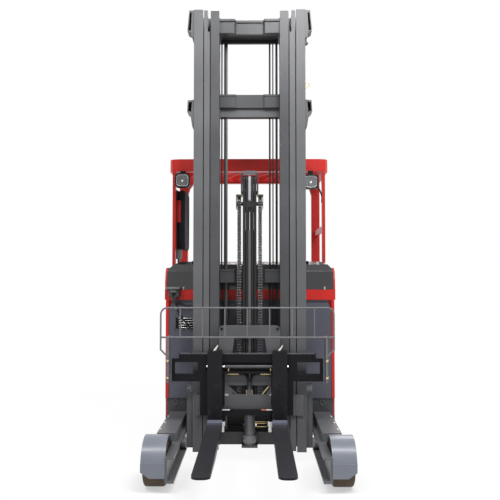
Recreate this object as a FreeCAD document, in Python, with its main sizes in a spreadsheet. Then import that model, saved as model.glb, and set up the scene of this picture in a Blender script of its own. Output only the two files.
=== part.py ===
# Reach truck with a triplex mast, moving mast carriage and side-facing operator.
# Millimetres. X to the right seen from the forks, forks toward -Y, Z up from the ground.
import FreeCAD, Part
import math
import os
import re
import Sketcher

os.makedirs("parts", exist_ok=True)
doc = FreeCAD.newDocument("ReachTruck")
sheet = doc.addObject("Spreadsheet::Sheet", "Sizes")

# Driving dimensions
SIZES = {
    "clearance": 5, "running_gap": 0.6, "roller_play": 0.5, "sheet_metal": 5, "plate": 12,
    # forks
    "fork_length": 1070, "fork_width": 100, "fork_thickness": 40, "fork_spacing": 443,
    "fork_top": 290, "fork_shank_height": 495, "shank_front": -185, "fork_toe": 12,
    "shift_offset": -15,
    # fork carriage
    "bar_spacing": 407, "bar_thickness": 20, "bar_height": 40, "bar_width": 940,
    "shift_barrel_radius": 13, "shift_rod_radius": 7, "tilt_pin_radius": 10,
    "tilt_gap": 6, "frame_gap": 8, "seat_gap": 0.3, "bracket_thickness": 8, "bracket_width": 428,
    "cross_half": 375, "cross_top": 470, "cross_bottom": 326, "heel_round": 26,
    "backrest_width": 1190, "backrest_top": 1082, "rod_radius": 6, "backrest_pitch": 152,
    "backrest_bend": 45, "backrest_mid": 876, "backrest_low": 793, "backrest_slant": 47,
    "backrest_flat": 540, "tilt_window_top": 622,
    # mast
    "mast_front": -85, "mast_height": 3190, "mast_foot": 71, "rail_gap": 6,
    "outer_rail_out": 396, "outer_rail_width": 66, "outer_rail_depth": 150,
    "middle_rail_width": 41, "middle_rail_depth": 145,
    "inner_rail_width": 62, "inner_rail_depth": 127, "flange": 10, "web": 12,
    "tie_height": 90, "tie_thickness": 12, "head_height": 99, "head_drop": 160,
    "head_recess": 28, "head_block": 95, "head_lip": 8, "mid_tie_drop": 740,
    "low_tie_bottom": 1250,
    "lift_barrel_radius": 28, "lift_rod_radius": 18, "lift_barrel_drop": 390,
    "free_barrel_radius": 40, "free_rod_radius": 26, "free_head_gap": 190,
    "column_place": -24, "sheave_radius": 46, "sheave_height": 1806, "chain_place": 74,
    "chain_width": 25, "chain_thickness": 10, "hose_radius": 9.5,
    # legs and wheels
    "leg_inside": 445.5, "leg_outside": 498, "leg_bottom": 64, "leg_height": 154,
    "leg_front": -690, "leg_wall": 14, "leg_box_out": 600, "leg_box_top": 275,
    "load_axle_place": -530, "load_wheel_radius": 142.5, "load_wheel_width": 130,
    "load_wheel_inside": 510, "tread_round": 14, "axle_radius": 20, "guard_out": 645, "guard_radius": 165,
    "guard_thickness": 8, "drive_axle_place": 1040, "drive_wheel_radius": 171.5,
    "drive_wheel_width": 135, "yoke_radius": 150, "drive_wheel_side": -200,
    # reach carriage
    "reach_plate_out": 440, "reach_plate_top": 535, "reach_plate_bottom": 95,
    "reach_roller_pitch": 190, "reach_stroke": 550,
    # chassis
    "body_half": 634, "side_edge": 22, "band_overhang": 8, "cheek_step": 5, "cheek_top": 1352,
    "panel_chamfer": 40, "body_front": 235, "body_rear": 1255, "body_bottom": 94,
    "deck_top": 377, "panel_top": 1083, "band_bottom": 1111, "band_top": 1188,
    "cowl_top": 1400, "cowl_round": 100, "cowl_depth": 200, "battery_length": 230, "battery_height": 580,
    "entry_front": 530, "entry_rear": 900, "floor_height": 400, "seat_front": -110,
    # overhead guard
    "roof_rim": 52, "side_tie_height": 1640,
    "roof_front": 445, "roof_rear": 1155, "roof_top": 2218, "roof_band": 98,
    "grille_bar": 8, "grille_pitch": 118,
    "front_post_inset": 40, "front_post_width": 24, "front_post_depth": 50,
    "rear_post_inset": 4, "rear_post_width": 72, "roof_inset": 4, "guard_shift": -12,
    "gusset_width": 60, "gusset_height": 110,
    "lamp_half": 58, "lamp_depth": 64, "lamp_corner": 26, "lens_half": 47, "lamp_dish": 28,
}
for row, (name, value) in enumerate(SIZES.items(), 1):
    sheet.set("A%d" % row, name)
    sheet.set("B%d" % row, str(value))
    sheet.setAlias("B%d" % row, name)
doc.recompute()

ROLES = {"XY": "XY_Plane", "XZ": "XZ_Plane", "YZ": "YZ_Plane"}
PARTS = []


def bound(text):
    return re.sub(r"[a-z][a-z_]+", lambda found: "Sizes." + found.group(), str(text))


def bind(thing, **sizes):
    for name, text in sizes.items():
        thing.setExpression(name, bound(text))


def place(thing, x=0, y=0, z=0):
    for axis, text in (("x", x), ("y", y), ("z", z)):
        thing.setExpression("Placement.Base." + axis, bound(text))


def new_body(name, x=0, y=0, z=0):
    body = doc.addObject("PartDesign::Body", name)
    place(body, x, y, z)
    return body


def new_sketch(body, plane):
    sketch = body.newObject("Sketcher::SketchObject", body.Name + "_sketch")
    for datum in body.Origin.OriginFeatures:
        if datum.Role == ROLES[plane]:
            sketch.AttachmentSupport = [(datum, "")]
    sketch.MapMode = "FlatFace"
    return sketch


def fix_point(sketch, line, x, y):
    for kind, text in (("DistanceX", x), ("DistanceY", y)):
        row = sketch.addConstraint(Sketcher.Constraint(kind, -1, 1, line, 1, 1.0))
        sketch.setExpression("Constraints[%d]" % row, bound(text))


def outline(body, plane, *loops):
    # Closed loops of straight lines through points given as sizes
    sketch = new_sketch(body, plane)
    for loop in loops:
        first = sketch.GeometryCount
        count = len(loop)
        for n in range(count):
            a = FreeCAD.Vector(n, n * n, 0)
            b = FreeCAD.Vector((n + 1) % count, ((n + 1) % count) ** 2, 0)
            sketch.addGeometry(Part.LineSegment(a, b))
        for n in range(count):
            nxt = first + (n + 1) % count
            sketch.addConstraint(Sketcher.Constraint("Coincident", first + n, 2, nxt, 1))
        for n, (x, y) in enumerate(loop):
            fix_point(sketch, first + n, x, y)
    return sketch


def pad(body, sketch, length, back=False, middle=False):
    feature = body.newObject("PartDesign::Pad", body.Name + "_pad")
    feature.Profile = sketch
    feature.Reversed = back
    feature.Midplane = middle
    bind(feature, Length=length)
    sketch.Visibility = False
    return feature


def pocket(body, sketch, length, back=False, middle=False):
    feature = body.newObject("PartDesign::Pocket", body.Name + "_pocket")
    feature.Profile = sketch
    feature.Reversed = back
    feature.Midplane = middle
    bind(feature, Length=length)
    return feature


def soften(body, feature, radius, *corners):
    # Rounds the straight edges that pass through the given corners, each two of x, y and z
    doc.recompute()
    names = []
    for n, edge in enumerate(feature.Shape.Edges, 1):
        ends = [vertex.Point for vertex in edge.Vertexes]
        for corner in corners:
            if all(abs(getattr(end, axis) - value) < 0.5
                   for end in ends for axis, value in corner.items()):
                names.append("Edge%d" % n)
    fillet = body.newObject("PartDesign::Fillet", body.Name + "_fillet")
    fillet.Base = (feature, names)
    bind(fillet, Radius=radius)
    return fillet


def turned(body, sketch, axis="V_Axis", angle=360, reverse=False):
    feature = body.newObject("PartDesign::Revolution", body.Name + "_turned")
    feature.Profile = sketch
    feature.ReferenceAxis = (sketch, [axis])
    feature.Angle = angle
    feature.Reversed = reverse
    sketch.Visibility = False
    return feature


def eight_sided(x, y, radius):
    # Corners of a bar's eight-sided section round x, y
    corners = []
    for n in range(8):
        angle = math.radians(22.5 + 45 * n)
        corners.append(("%s + (%s) * %.3f" % (x, radius, math.cos(angle)),
                        "%s + (%s) * %.3f" % (y, radius, math.sin(angle))))
    return corners


def common(name, first, second):
    result = doc.addObject("Part::Common", name)
    result.Base = first
    result.Tool = second
    return result


def box(name, x, y, z, length, width, height):
    shape = doc.addObject("Part::Box", name)
    bind(shape, Length=length, Width=width, Height=height)
    place(shape, x, y, z)
    return shape


AXES = {"X": FreeCAD.Rotation(FreeCAD.Vector(0, 1, 0), 90),
        "Y": FreeCAD.Rotation(FreeCAD.Vector(1, 0, 0), -90), "Z": FreeCAD.Rotation()}


def rod(name, axis, x, y, z, radius, height):
    shape = doc.addObject("Part::Cylinder", name)
    shape.Placement.Rotation = AXES[axis]
    bind(shape, Radius=radius, Height=height)
    place(shape, x, y, z)
    return shape


def fuse(name, *shapes):
    result = doc.addObject("Part::MultiFuse", name)
    result.Shapes = list(shapes)
    result.Refine = True
    return result


def cut(name, base, *tools):
    result = doc.addObject("Part::Cut", name)
    result.Base = base
    result.Tool = tools[0] if len(tools) == 1 else fuse(name + "_cuts", *tools)
    result.Refine = True
    return result


def mirrored(name, shape):
    result = doc.addObject("Part::Mirroring", name)
    result.Source = shape
    result.Normal = (1, 0, 0)
    return result


def keep(shape, label):
    shape.Label = label
    PARTS.append((label, shape))
    return shape


def pair(right, label):
    # The piece on the +X side and its mirror image on the other
    keep(right, label + "_right")
    keep(mirrored(label + "_mirror", right), label + "_left")


def profile_solid(name, plane, loop, length, x=0, y=0, z=0, back=False, middle=False):
    body = new_body(name, x, y, z)
    pad(body, outline(body, plane, loop), length, back, middle)
    return body


def rectangle(x, y, x2, y2):
    return [(x, y), (x2, y), (x2, y2), (x, y2)]


# Straddle legs: channel open inward for the carriage rollers, with a box beam outside it
leg_rear = "body_front + 320"
leg_body = new_body("leg", 0, "leg_front", 0)
leg_top = "leg_bottom + leg_height"
channel = [("leg_inside", "leg_bottom"), ("leg_outside", "leg_bottom"), ("leg_outside", leg_top),
           ("leg_inside", leg_top), ("leg_inside", leg_top + " - leg_wall"),
           ("leg_outside - leg_wall", leg_top + " - leg_wall"),
           ("leg_outside - leg_wall", "leg_bottom + leg_wall"),
           ("leg_inside", "leg_bottom + leg_wall")]
pad(leg_body, outline(leg_body, "XZ", channel), leg_rear + " - leg_front", back=True)
guard_rear = "load_axle_place + guard_radius + clearance"
leg_box = box("leg_box", "leg_outside", guard_rear, "leg_bottom + 20", "leg_box_out - leg_outside",
              "body_front + 12 - (" + guard_rear + ")", "leg_box_top - leg_bottom - 20")
leg_cap = box("leg_cap", "leg_outside - 24", guard_rear, leg_top, "24",
              "body_front + 12 - (" + guard_rear + ")", "leg_box_top - leg_bottom - leg_height")
load_axle = rod("load_axle", "X", "leg_outside - leg_wall", "load_axle_place", "load_wheel_radius",
                "axle_radius", "guard_out - leg_outside + leg_wall - 3")
axle_boss = rod("axle_boss", "X", "leg_outside", "load_axle_place", "load_wheel_radius",
                "axle_radius + 22", "load_wheel_inside - leg_outside - clearance")
pair(fuse("leg_solid", leg_body, leg_box, leg_cap, load_axle, axle_boss), "leg")

# Wheel guards: a bent strip over each load wheel with a flat front plate
guard_disc = rod("guard_disc", "X", "leg_outside", "load_axle_place", "load_wheel_radius",
                 "guard_radius", "guard_out - leg_outside")
guard_bore = rod("guard_bore", "X", "leg_outside - 1", "load_axle_place", "load_wheel_radius",
                 "guard_radius - guard_thickness", "guard_out - leg_outside + 2")
guard_low = box("guard_low", "leg_outside - 5", "load_axle_place - 200", "-100", "200", "400",
                "load_wheel_radius + 132")
guard_arc = cut("guard_arc", guard_disc, guard_bore, guard_low)
guard_plate_front = "load_axle_place - guard_radius"
guard_front = profile_solid(
    "guard_front", "XZ",
    [("leg_outside", "body_bottom"), ("guard_out - 53", "body_bottom"),
     ("guard_out", "body_bottom + 36"), ("guard_out", "load_wheel_radius + 40"),
     ("leg_outside", "load_wheel_radius + 40")],
    "guard_thickness", 0, guard_plate_front, 0, back=True)
pair(fuse("guard_solid", guard_arc, guard_front), "wheel_guard")

# Load wheels
load_wheel = new_body("load_wheel", "load_wheel_inside", "load_axle_place", "load_wheel_radius")
bore = "axle_radius + running_gap / 2"
turned(load_wheel, outline(
    load_wheel, "XZ",
    [("0", bore), ("0", "load_wheel_radius - tread_round"),
     ("tread_round * 0.3", "load_wheel_radius - tread_round * 0.3"),
     ("tread_round", "load_wheel_radius"), ("load_wheel_width - tread_round", "load_wheel_radius"),
     ("load_wheel_width - tread_round * 0.3", "load_wheel_radius - tread_round * 0.3"),
     ("load_wheel_width", "load_wheel_radius - tread_round"),
     ("load_wheel_width", "load_wheel_radius * 0.62"),
     ("load_wheel_width - 14", "load_wheel_radius * 0.58"),
     ("load_wheel_width - 14", "axle_radius + 26"), ("load_wheel_width - 4", "axle_radius + 22"),
     ("load_wheel_width - 4", bore)]), axis="H_Axis")
pair(load_wheel, "load_wheel")

# Chassis deck: low tub with a bay for the battery and an open well for the drive wheel
battery_floor = "leg_bottom + leg_height + clearance"
deck = box("deck_block", "-body_half", "body_front + 12", "body_bottom", "body_half * 2",
           "body_rear - body_front - 12", "deck_top - body_bottom")
battery_bay = box("battery_bay", "-body_half + 40", "body_front + 40", battery_floor,
                  "body_half * 2 - 80", "battery_length + 2 * clearance", "400")
well_radius = "yoke_radius + running_gap"
reach_axis_z = "leg_bottom + leg_height / 2"
drive_well = rod("drive_well", "Z", "drive_wheel_side", "drive_axle_place", "body_bottom - 10",
                 well_radius, "500")
deck_hollow = box("deck_hollow", "-body_half + 30", "body_front + battery_length + 70",
                  "body_bottom - 10", "body_half * 2 - 60",
                  "body_rear - body_front - battery_length - 100",
                  "deck_top - body_bottom - 2")
reach_slot = box("reach_slot", "-50", "body_front", "body_bottom - 10", "100",
                 "reach_stroke + 100", reach_axis_z + " + 45 - body_bottom + 10")
leg_slots = []
for side, start in (("right", "leg_inside - seat_gap"), ("left", "-leg_outside - seat_gap")):
    leg_slots.append(box("leg_slot_" + side, start, "body_front", "body_bottom - 60",
                         "leg_outside - leg_inside + seat_gap * 2", leg_rear + " - body_front + 2",
                         "leg_bottom + leg_height + seat_gap - body_bottom + 60"))
keep(cut("deck_solid", deck, battery_bay, drive_well, deck_hollow, reach_slot, *leg_slots),
     "chassis_deck")

# Front plate behind the mast, battery and the black cowl with its red band
panel_half = "(body_half - side_edge - running_gap)"
panel_sheet = profile_solid("panel_sheet", "XZ",
                   [("-" + panel_half, "deck_top"), (panel_half, "deck_top"),
                    (panel_half, "panel_top - panel_chamfer"),
                    (panel_half + " - panel_chamfer / 2", "panel_top"),
                    ("-" + panel_half + " + panel_chamfer / 2", "panel_top"),
                    ("-" + panel_half, "panel_top - panel_chamfer")],
                   "12", 0, "body_front", 0, back=True)
panel_strip = box("panel_strip", "-" + panel_half + " + panel_chamfer / 2", "body_front + 12",
                  "panel_top - panel_chamfer", panel_half + " * 2 - panel_chamfer", "5",
                  "band_bottom + 20 - panel_top + panel_chamfer")
keep(fuse("panel_solid", panel_sheet, panel_strip), "front_panel")
keep(box("battery", "-body_half + 45", "body_front + 45", battery_floor,
         "body_half * 2 - 90", "battery_length", "battery_height"), "battery")
band_out = "(body_half + band_overhang)"
band_in = "(body_half - 14)"
band_rear = "body_front + cowl_depth + 70"
band = profile_solid("front_band", "XY",
                     [("-" + band_out, "body_front - 4"), (band_out, "body_front - 4"),
                      (band_out, band_rear), (band_in, band_rear), (band_in, "body_front + 12"),
                      ("-" + band_in, "body_front + 12"), ("-" + band_in, band_rear),
                      ("-" + band_out, band_rear)],
                     "band_top - band_bottom", 0, 0, "band_bottom")
cheek = profile_solid("cheek", "YZ",
                      [("body_front", "band_bottom + 10"), (band_rear, "band_bottom + 10"),
                       (band_rear, "band_top + 27"),
                       ("body_front + cowl_depth + 14", "band_top + 40"),
                       ("body_front + cowl_depth", "cheek_top - 30"),
                       ("body_front + cowl_depth - 40", "cheek_top"),
                       ("body_front + 70", "cheek_top"), ("body_front + 30", "cheek_top - 26"),
                       ("body_front + 8", "cheek_top - 90")],
                      "band_overhang + cheek_step", "body_half - cheek_step")
keep(fuse("front_band_solid", band, cheek, mirrored("cheek_left", cheek)), "front_band")
shelf = "cowl_depth + 70"
cowl_side = profile_solid("cowl_side", "YZ",
                          [("body_front", "band_top"), ("body_front + " + shelf, "band_top"),
                           ("body_front + " + shelf, "band_top + 27"),
                           ("body_front + cowl_depth + 10", "band_top + 27"),
                           ("body_front + cowl_depth", "band_top + 70"),
                           ("body_front + cowl_depth", "cowl_top - 40"),
                           ("body_front + cowl_depth - 30", "cowl_top"),
                           ("body_front + 105", "cowl_top"), ("body_front + 55", "cowl_top - 22"),
                           ("body_front + 12", "cowl_top - 73")],
                          "body_half * 2 + 20", 0, 0, 0, middle=True)
cowl_face = new_body("cowl_face", 0, "body_front - 10", 0)
cowl_pad = pad(cowl_face, outline(
    cowl_face, "XZ",
    [("-body_half + 6", "band_top"), ("body_half - 6", "band_top"),
     ("body_half - 6", "cowl_top - 20"), ("body_half - cowl_round * 0.96", "cowl_top"),
     ("-body_half + cowl_round * 1.06", "cowl_top"), ("-body_half + 6", "cowl_top - 40")]),
    "cowl_depth + 120", back=True)
half_now = float(SIZES["body_half"]) - 6
top_now = float(SIZES["cowl_top"])
soften(cowl_face, cowl_pad, "cowl_round", {"x": half_now, "z": top_now - 20},
       {"x": -half_now, "z": top_now - 40})
keep(common("cowl_solid", cowl_side, cowl_face), "cowl")

# Battery connector with its pull handle on the front, by the left shoulder
plug = box("plug", "-body_half + 4", "body_front - 44", "band_bottom + 14", "106", "40", "72")
plug_bar = rod("plug_bar", "X", "-body_half + 20", "body_front - 62", "band_bottom + 74", "7",
               "74")
plug_arm = box("plug_arm", "-body_half + 20", "body_front - 62", "band_bottom + 68", "10", "24",
               "12")
plug_arm_two = box("plug_arm_two", "-body_half + 84", "body_front - 62", "band_bottom + 68",
                   "10", "24", "12")
keep(fuse("plug_solid", plug, plug_bar, plug_arm, plug_arm_two), "battery_connector")

# Side walls, entry step and the drive unit cover behind the operator
side_front = "body_front - sheet_metal"
side = [(side_front, "deck_top"), ("entry_front", "deck_top"),
        ("entry_front", "band_bottom"), (side_front, "band_bottom")]
keep(profile_solid("side_right", "YZ", side, "side_edge", "body_half - side_edge"),
     "side_panel_right")
side = [(side_front, "deck_top"), ("entry_rear + 25", "deck_top"),
        ("entry_rear + 25", "band_bottom"), (side_front, "band_bottom")]
keep(profile_solid("side_left", "YZ", side, "side_edge", "-body_half"), "side_panel_left")
rear_shell = profile_solid("rear_shell", "YZ",
                           [("entry_rear + 25", "deck_top"), ("body_rear", "deck_top"),
                            ("body_rear", "band_bottom - 90"),
                            ("body_rear - 60", "band_bottom - 10"),
                            ("entry_rear + 25", "band_bottom - 10")],
                           "body_half * 2 - 4", middle=True)
rear_hollow = box("rear_hollow", "-body_half + 22", "entry_rear + 37", "deck_top - 5",
                  "body_half * 2 - 44", "body_rear - entry_rear - 49",
                  "band_bottom - deck_top - 100")
keep(cut("rear_cover", rear_shell, rear_hollow), "rear_cover")
keep(box("floor_plate", "seat_front", "entry_front", "deck_top", "body_half - seat_front - 6",
         "entry_rear - entry_front + 25", "floor_height - deck_top"), "floor_plate")

# Operator's place, facing +X
seat_x = "-body_half + 60"
seat_y = "entry_front + 5"
seat_base = box("seat_base", seat_x, seat_y, "deck_top", "seat_front - 2 - (" + seat_x + ")",
                "entry_rear - entry_front - 5", "473")
seat_hollow = box("seat_hollow", seat_x + " + 12", seat_y + " + 12", "deck_top - 5",
                  "seat_front - 26 - (" + seat_x + ")", "entry_rear - entry_front - 29", "466")
keep(cut("seat_base_solid", seat_base, seat_hollow), "seat_base")
keep(box("seat_cushion", seat_x + " + 36", seat_y + " + 5", "deck_top + 473", "430",
         "entry_rear - entry_front - 15", "100"), "seat_cushion")
seat_back = new_body("seat_back", "-body_half", seat_y, 0)
pad(seat_back, outline(
    seat_back, "XZ",
    [("24", "1425"), ("50", "1425"), ("54", "1478"), ("66", "1490"), ("98", "1500"),
     ("106", "1512"), ("108", "1968"), ("98", "1988"), ("32", "1988"), ("20", "1966"),
     ("20", "1500")],
    [("44", "1716"), ("58", "1730"), ("58", "1905"), ("44", "1905")]),
    "340", back=True)
seat_stem = box("seat_stem", "-body_half + side_edge + clearance", seat_y + " + 120", "deck_top",
                "24", "100", "1060")
keep(fuse("seat_back_solid", seat_back, seat_stem), "seat_back")
console_foot = "band_bottom - 10"
keep(profile_solid("console", "YZ",
                   [("entry_rear - 20", console_foot), ("entry_rear + 160", console_foot),
                    ("entry_rear + 160", console_foot + " + 60"),
                    ("entry_rear - 20", console_foot + " + 40")],
                   "420", "-100"), "console")
wheel_ring = new_body("steering_ring", "120", "entry_rear + 40", "panel_top + 150")
turned(wheel_ring, outline(wheel_ring, "XZ", eight_sided("130", "0", "13")))
wheel_post = rod("steering_post", "Z", "120", "entry_rear + 40", "panel_top + 68", "25", "82")
wheel_disc = rod("steering_disc", "Z", "120", "entry_rear + 40", "panel_top + 144", "125", "12")
keep(fuse("steering_solid", wheel_ring, wheel_post, wheel_disc), "steering_wheel")

# Overhead guard, one weldment: bowed roof frame, grille, slim front posts and rear portal
roof_half = "(body_half - roof_inset)"
roof_low = "roof_top - roof_band"
roof = new_body("roof", 0, 0, roof_low)
pad(roof, outline(
    roof, "XY",
    [("-" + roof_half, "roof_front + 52"), ("-" + roof_half + " + 18", "roof_front + 22"),
     ("-" + roof_half + " + 70", "roof_front + 6"), ("-" + roof_half + " + 300", "roof_front"),
     (roof_half + " - 300", "roof_front"), (roof_half + " - 70", "roof_front + 6"),
     (roof_half + " - 18", "roof_front + 22"), (roof_half, "roof_front + 52"),
     (roof_half, "roof_rear"), ("-" + roof_half, "roof_rear")]), "roof_band")
roof_open = box("roof_open", "-" + roof_half + " + roof_rim", "roof_front + roof_rim + 10",
                roof_low + " - 5", roof_half + " * 2 - roof_rim * 2",
                "roof_rear - roof_front - roof_rim * 2 - 10", "roof_band + 10")
roof_frame = cut("roof_frame", roof, roof_open)
grille = new_body("grille", 0, 0, roof_low + " + 24")
bars = []
BAR_COUNT = 11
lean = "(roof_rear - roof_front) * 0.22"
for n in range(BAR_COUNT):
    start = "grille_pitch * %d" % (n - BAR_COUNT // 2)
    bars.append([(start + " + " + lean, "roof_front + 40"),
                 (start + " + " + lean + " + grille_bar", "roof_front + 40"),
                 (start + " - " + lean + " + grille_bar", "roof_rear - 40"),
                 (start + " - " + lean, "roof_rear - 40")])
pad(grille, outline(grille, "XY", *bars), "roof_band - 34")
grille_area = box("grille_area", "-" + roof_half + " + roof_rim - 5",
                  "roof_front + roof_rim + 5", roof_low,
                  roof_half + " * 2 - roof_rim * 2 + 10",
                  "roof_rear - roof_front - roof_rim * 2", "roof_band")
front_post = box("front_post", "body_half - front_post_inset - front_post_width / 2",
                 "roof_front + 8", "band_top + 27", "front_post_width", "front_post_depth",
                 roof_low + " - band_top - 27")
rear_foot = "band_bottom - 10"
portal = new_body("portal", 0, "roof_rear", 0)
post_out = "(body_half - rear_post_inset)"
post_in = "(body_half - rear_post_inset - rear_post_width)"
pad(portal, outline(
    portal, "XZ",
    [("-" + post_out, rear_foot), ("-" + post_in, rear_foot),
     ("-" + post_in, roof_low + " - gusset_height"),
     ("-" + post_in + " + gusset_width * 0.3", roof_low + " - gusset_height * 0.45"),
     ("-" + post_in + " + gusset_width", roof_low + " + 12"),
     (post_in + " - gusset_width", roof_low + " + 12"),
     (post_in + " - gusset_width * 0.3", roof_low + " - gusset_height * 0.45"),
     (post_in, roof_low + " - gusset_height"),
     (post_in, rear_foot), (post_out, rear_foot),
     (post_out, "roof_top - 8"), ("-" + post_out, "roof_top - 8")]), "60")
side_tie = box("side_tie", "body_half - front_post_inset - front_post_width / 2",
               "roof_front + 50", "side_tie_height", "front_post_width",
               "roof_rear - roof_front - 80", "46")
weldment = fuse("guard_weldment", roof_frame, common("grille_bars", grille, grille_area), portal,
                front_post, mirrored("front_post_left", front_post), side_tie)
place(weldment, "guard_shift")
keep(weldment, "overhead_guard")

# Work lamps under the roof's front edge
for side, place_x, height in (("right", "476", "2028"), ("left", "-533", "2039")):
    lamp = new_body("lamp_" + side, place_x, "roof_front - lamp_depth - 2", height)
    shell = pad(lamp, outline(lamp, "XZ", rectangle("-lamp_half", "-lamp_half + 3", "lamp_half",
                                                    "lamp_half - 3")), "lamp_depth", back=True)
    wide = float(SIZES["lamp_half"])
    corners = [{"x": x, "z": z} for x in (-wide, wide) for z in (3 - wide, wide - 3)]
    soften(lamp, shell, "lamp_corner", *corners)
    dish = pocket(lamp, outline(lamp, "XZ", rectangle("-lens_half", "-lens_half + 1", "lens_half",
                                                      "lens_half - 1")), "lamp_dish")
    wide = float(SIZES["lens_half"])
    corners = [{"x": x, "z": z} for x in (-wide, wide) for z in (1 - wide, wide - 1)]
    soften(lamp, dish, "lamp_corner - 6", *corners)
    stem = box("lamp_stem_" + side, place_x + " - 19", "roof_front - 24", height + " + lamp_half - 8",
               "38", "44", "roof_top - roof_band - lamp_half + 8 - " + height)
    keep(fuse("lamp_solid_" + side, lamp, stem), "lamp_" + side)

# Drive unit
yoke_plate_z = "drive_wheel_radius * 2 + clearance"
yoke_plate = rod("yoke_plate", "Z", "drive_wheel_side", "drive_axle_place", yoke_plate_z,
                 "yoke_radius", "22")
yoke_motor = rod("yoke_motor", "Z", "drive_wheel_side", "drive_axle_place",
                 yoke_plate_z + " + 20", "90", "380")
yoke_cheek = box("yoke_cheek", "drive_wheel_side + drive_wheel_width / 2 + clearance",
                 "drive_axle_place - 60", "drive_wheel_radius - 60", "40", "120",
                 "drive_wheel_radius + 67")
drive_pin = rod("drive_pin", "X", "drive_wheel_side - drive_wheel_width / 2",
                "drive_axle_place", "drive_wheel_radius", "axle_radius + 10",
                "drive_wheel_width + 30")
keep(fuse("drive_yoke_solid", yoke_plate, yoke_motor, yoke_cheek, drive_pin), "drive_yoke")
drive_disc = rod("drive_disc", "X", "drive_wheel_side - drive_wheel_width / 2",
                 "drive_axle_place", "drive_wheel_radius", "drive_wheel_radius",
                 "drive_wheel_width")
drive_bore = rod("drive_bore", "X", "drive_wheel_side - drive_wheel_width / 2 - 1",
                 "drive_axle_place", "drive_wheel_radius",
                 "axle_radius + 10 + running_gap / 2", "drive_wheel_width + 2")
keep(cut("drive_wheel_solid", drive_disc, drive_bore), "drive_wheel")

# Reach carriage: side plates with rollers in the leg channels, and a rear cross member
reach_side = profile_solid("reach_side", "YZ",
                           [("-60", "reach_plate_bottom"), ("200", "reach_plate_bottom"),
                            ("200", "reach_plate_top - 180"), ("140", "reach_plate_top"),
                            ("-20", "reach_plate_top"), ("-60", "reach_plate_top - 60")],
                           "reach_plate_out - outer_rail_out", "outer_rail_out")
reach_other = mirrored("reach_other", reach_side)
tie_front = "mast_front + outer_rail_depth + 19"
reach_cross = box("reach_cross", "-outer_rail_out", tie_front, "82", "outer_rail_out * 2",
                  "100", "104")
keep(fuse("reach_frame_solid", reach_side, reach_other, reach_cross), "reach_frame")
roller_z = "leg_bottom + leg_height / 2"
for side, start in (("right", "reach_plate_out"),
                    ("left", "-leg_outside + leg_wall + clearance")):
    for end, y in (("front", "-20"), ("rear", "-20 + reach_roller_pitch")):
        keep(rod("reach_roller_%s_%s" % (side, end), "X", start, y, roller_z,
                 "leg_height / 2 - leg_wall - roller_play",
                 "leg_outside - leg_wall - clearance - reach_plate_out"),
             "reach_roller_%s_%s" % (side, end))

# Reach cylinder: barrel in the chassis, rod on the carriage
reach_barrel = rod("reach_barrel", "Y", "0", "body_front - 10", reach_axis_z, "35",
                   "reach_stroke + 60")
reach_bore = rod("reach_bore", "Y", "0", "body_front - 20", reach_axis_z, "20 + running_gap",
                 "reach_stroke + 50")
keep(cut("reach_barrel_solid", reach_barrel, reach_bore), "reach_cylinder")
keep(rod("reach_rod", "Y", "0", tie_front + " + 100", reach_axis_z, "20", "reach_stroke + 50"),
     "reach_rod")


# Mast rails: outer channels, middle beams and inner channels
def rail(name, out, width, depth, kind, foot, top):
    front = "mast_front"
    rear = "mast_front + " + depth
    inside = out + " - " + width
    body = new_body(name, 0, 0, foot)
    if kind == "channel":
        loop = [(inside, front), (out, front), (out, rear), (inside, rear),
                (inside, rear + " - flange"), (out + " - web", rear + " - flange"),
                (out + " - web", front + " + flange"), (inside, front + " + flange")]
    else:
        web_in = out + " - " + width + " / 2 - web / 2"
        web_out = out + " - " + width + " / 2 + web / 2"
        loop = [(inside, front), (out, front), (out, front + " + flange"),
                (web_out, front + " + flange"), (web_out, rear + " - flange"),
                (out, rear + " - flange"), (out, rear), (inside, rear),
                (inside, rear + " - flange"), (web_in, rear + " - flange"),
                (web_in, front + " + flange"), (inside, front + " + flange")]
    pad(body, outline(body, "XY", loop), top + " - (" + foot + ")")
    return body


middle_out = "(outer_rail_out - outer_rail_width - rail_gap)"
inner_out = "(outer_rail_out - outer_rail_width - middle_rail_width - rail_gap * 2)"
outer_rail = rail("outer_rail", "outer_rail_out", "outer_rail_width", "outer_rail_depth",
                  "channel", "mast_foot", "mast_height")
middle_rail = rail("middle_rail", middle_out, "middle_rail_width", "middle_rail_depth",
                   "beam", "mast_foot + 8", "mast_height - 6")
inner_rail = rail("inner_rail", inner_out, "inner_rail_width", "inner_rail_depth",
                  "channel", "mast_foot + 16", "mast_height - 10")

tie_rear = "mast_front + outer_rail_depth"
outer_parts = [outer_rail, mirrored("outer_rail_left", outer_rail)]
for n, height in enumerate(("low_tie_bottom", "mast_height - mid_tie_drop")):
    outer_parts.append(box("outer_tie_%d" % n, "-outer_rail_out", tie_front, height,
                           "outer_rail_out * 2", "24", "tie_height"))
    for side, start in (("a", "outer_rail_out - outer_rail_width"), ("b", "-outer_rail_out")):
        outer_parts.append(box("outer_cheek_%d%s" % (n, side), start, tie_rear, height,
                               "outer_rail_width", "19", "tie_height"))
lug_front = "mast_front + 12"
lug_mass = profile_solid("outer_lug", "XZ",
                         [("outer_rail_out", "mast_height"), ("outer_rail_out + 36", "mast_height"),
                          ("outer_rail_out + 49", "mast_height - 146"),
                          ("outer_rail_out + 22", "mast_height - 160"),
                          ("outer_rail_out + 14", "mast_height - 198"),
                          ("outer_rail_out", "mast_height - 198")],
                         "110", 0, lug_front, 0, back=True)
lug_hollow = profile_solid("lug_hollow", "XZ",
                           [("outer_rail_out + 18", "mast_height - 16"),
                            ("outer_rail_out + 31", "mast_height - 16"),
                            ("outer_rail_out + 43", "mast_height - 141"),
                            ("outer_rail_out + 24", "mast_height - 150")],
                           "90", 0, lug_front + " - 2", 0, back=True)
lug = cut("lug_solid", lug_mass, lug_hollow)
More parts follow.
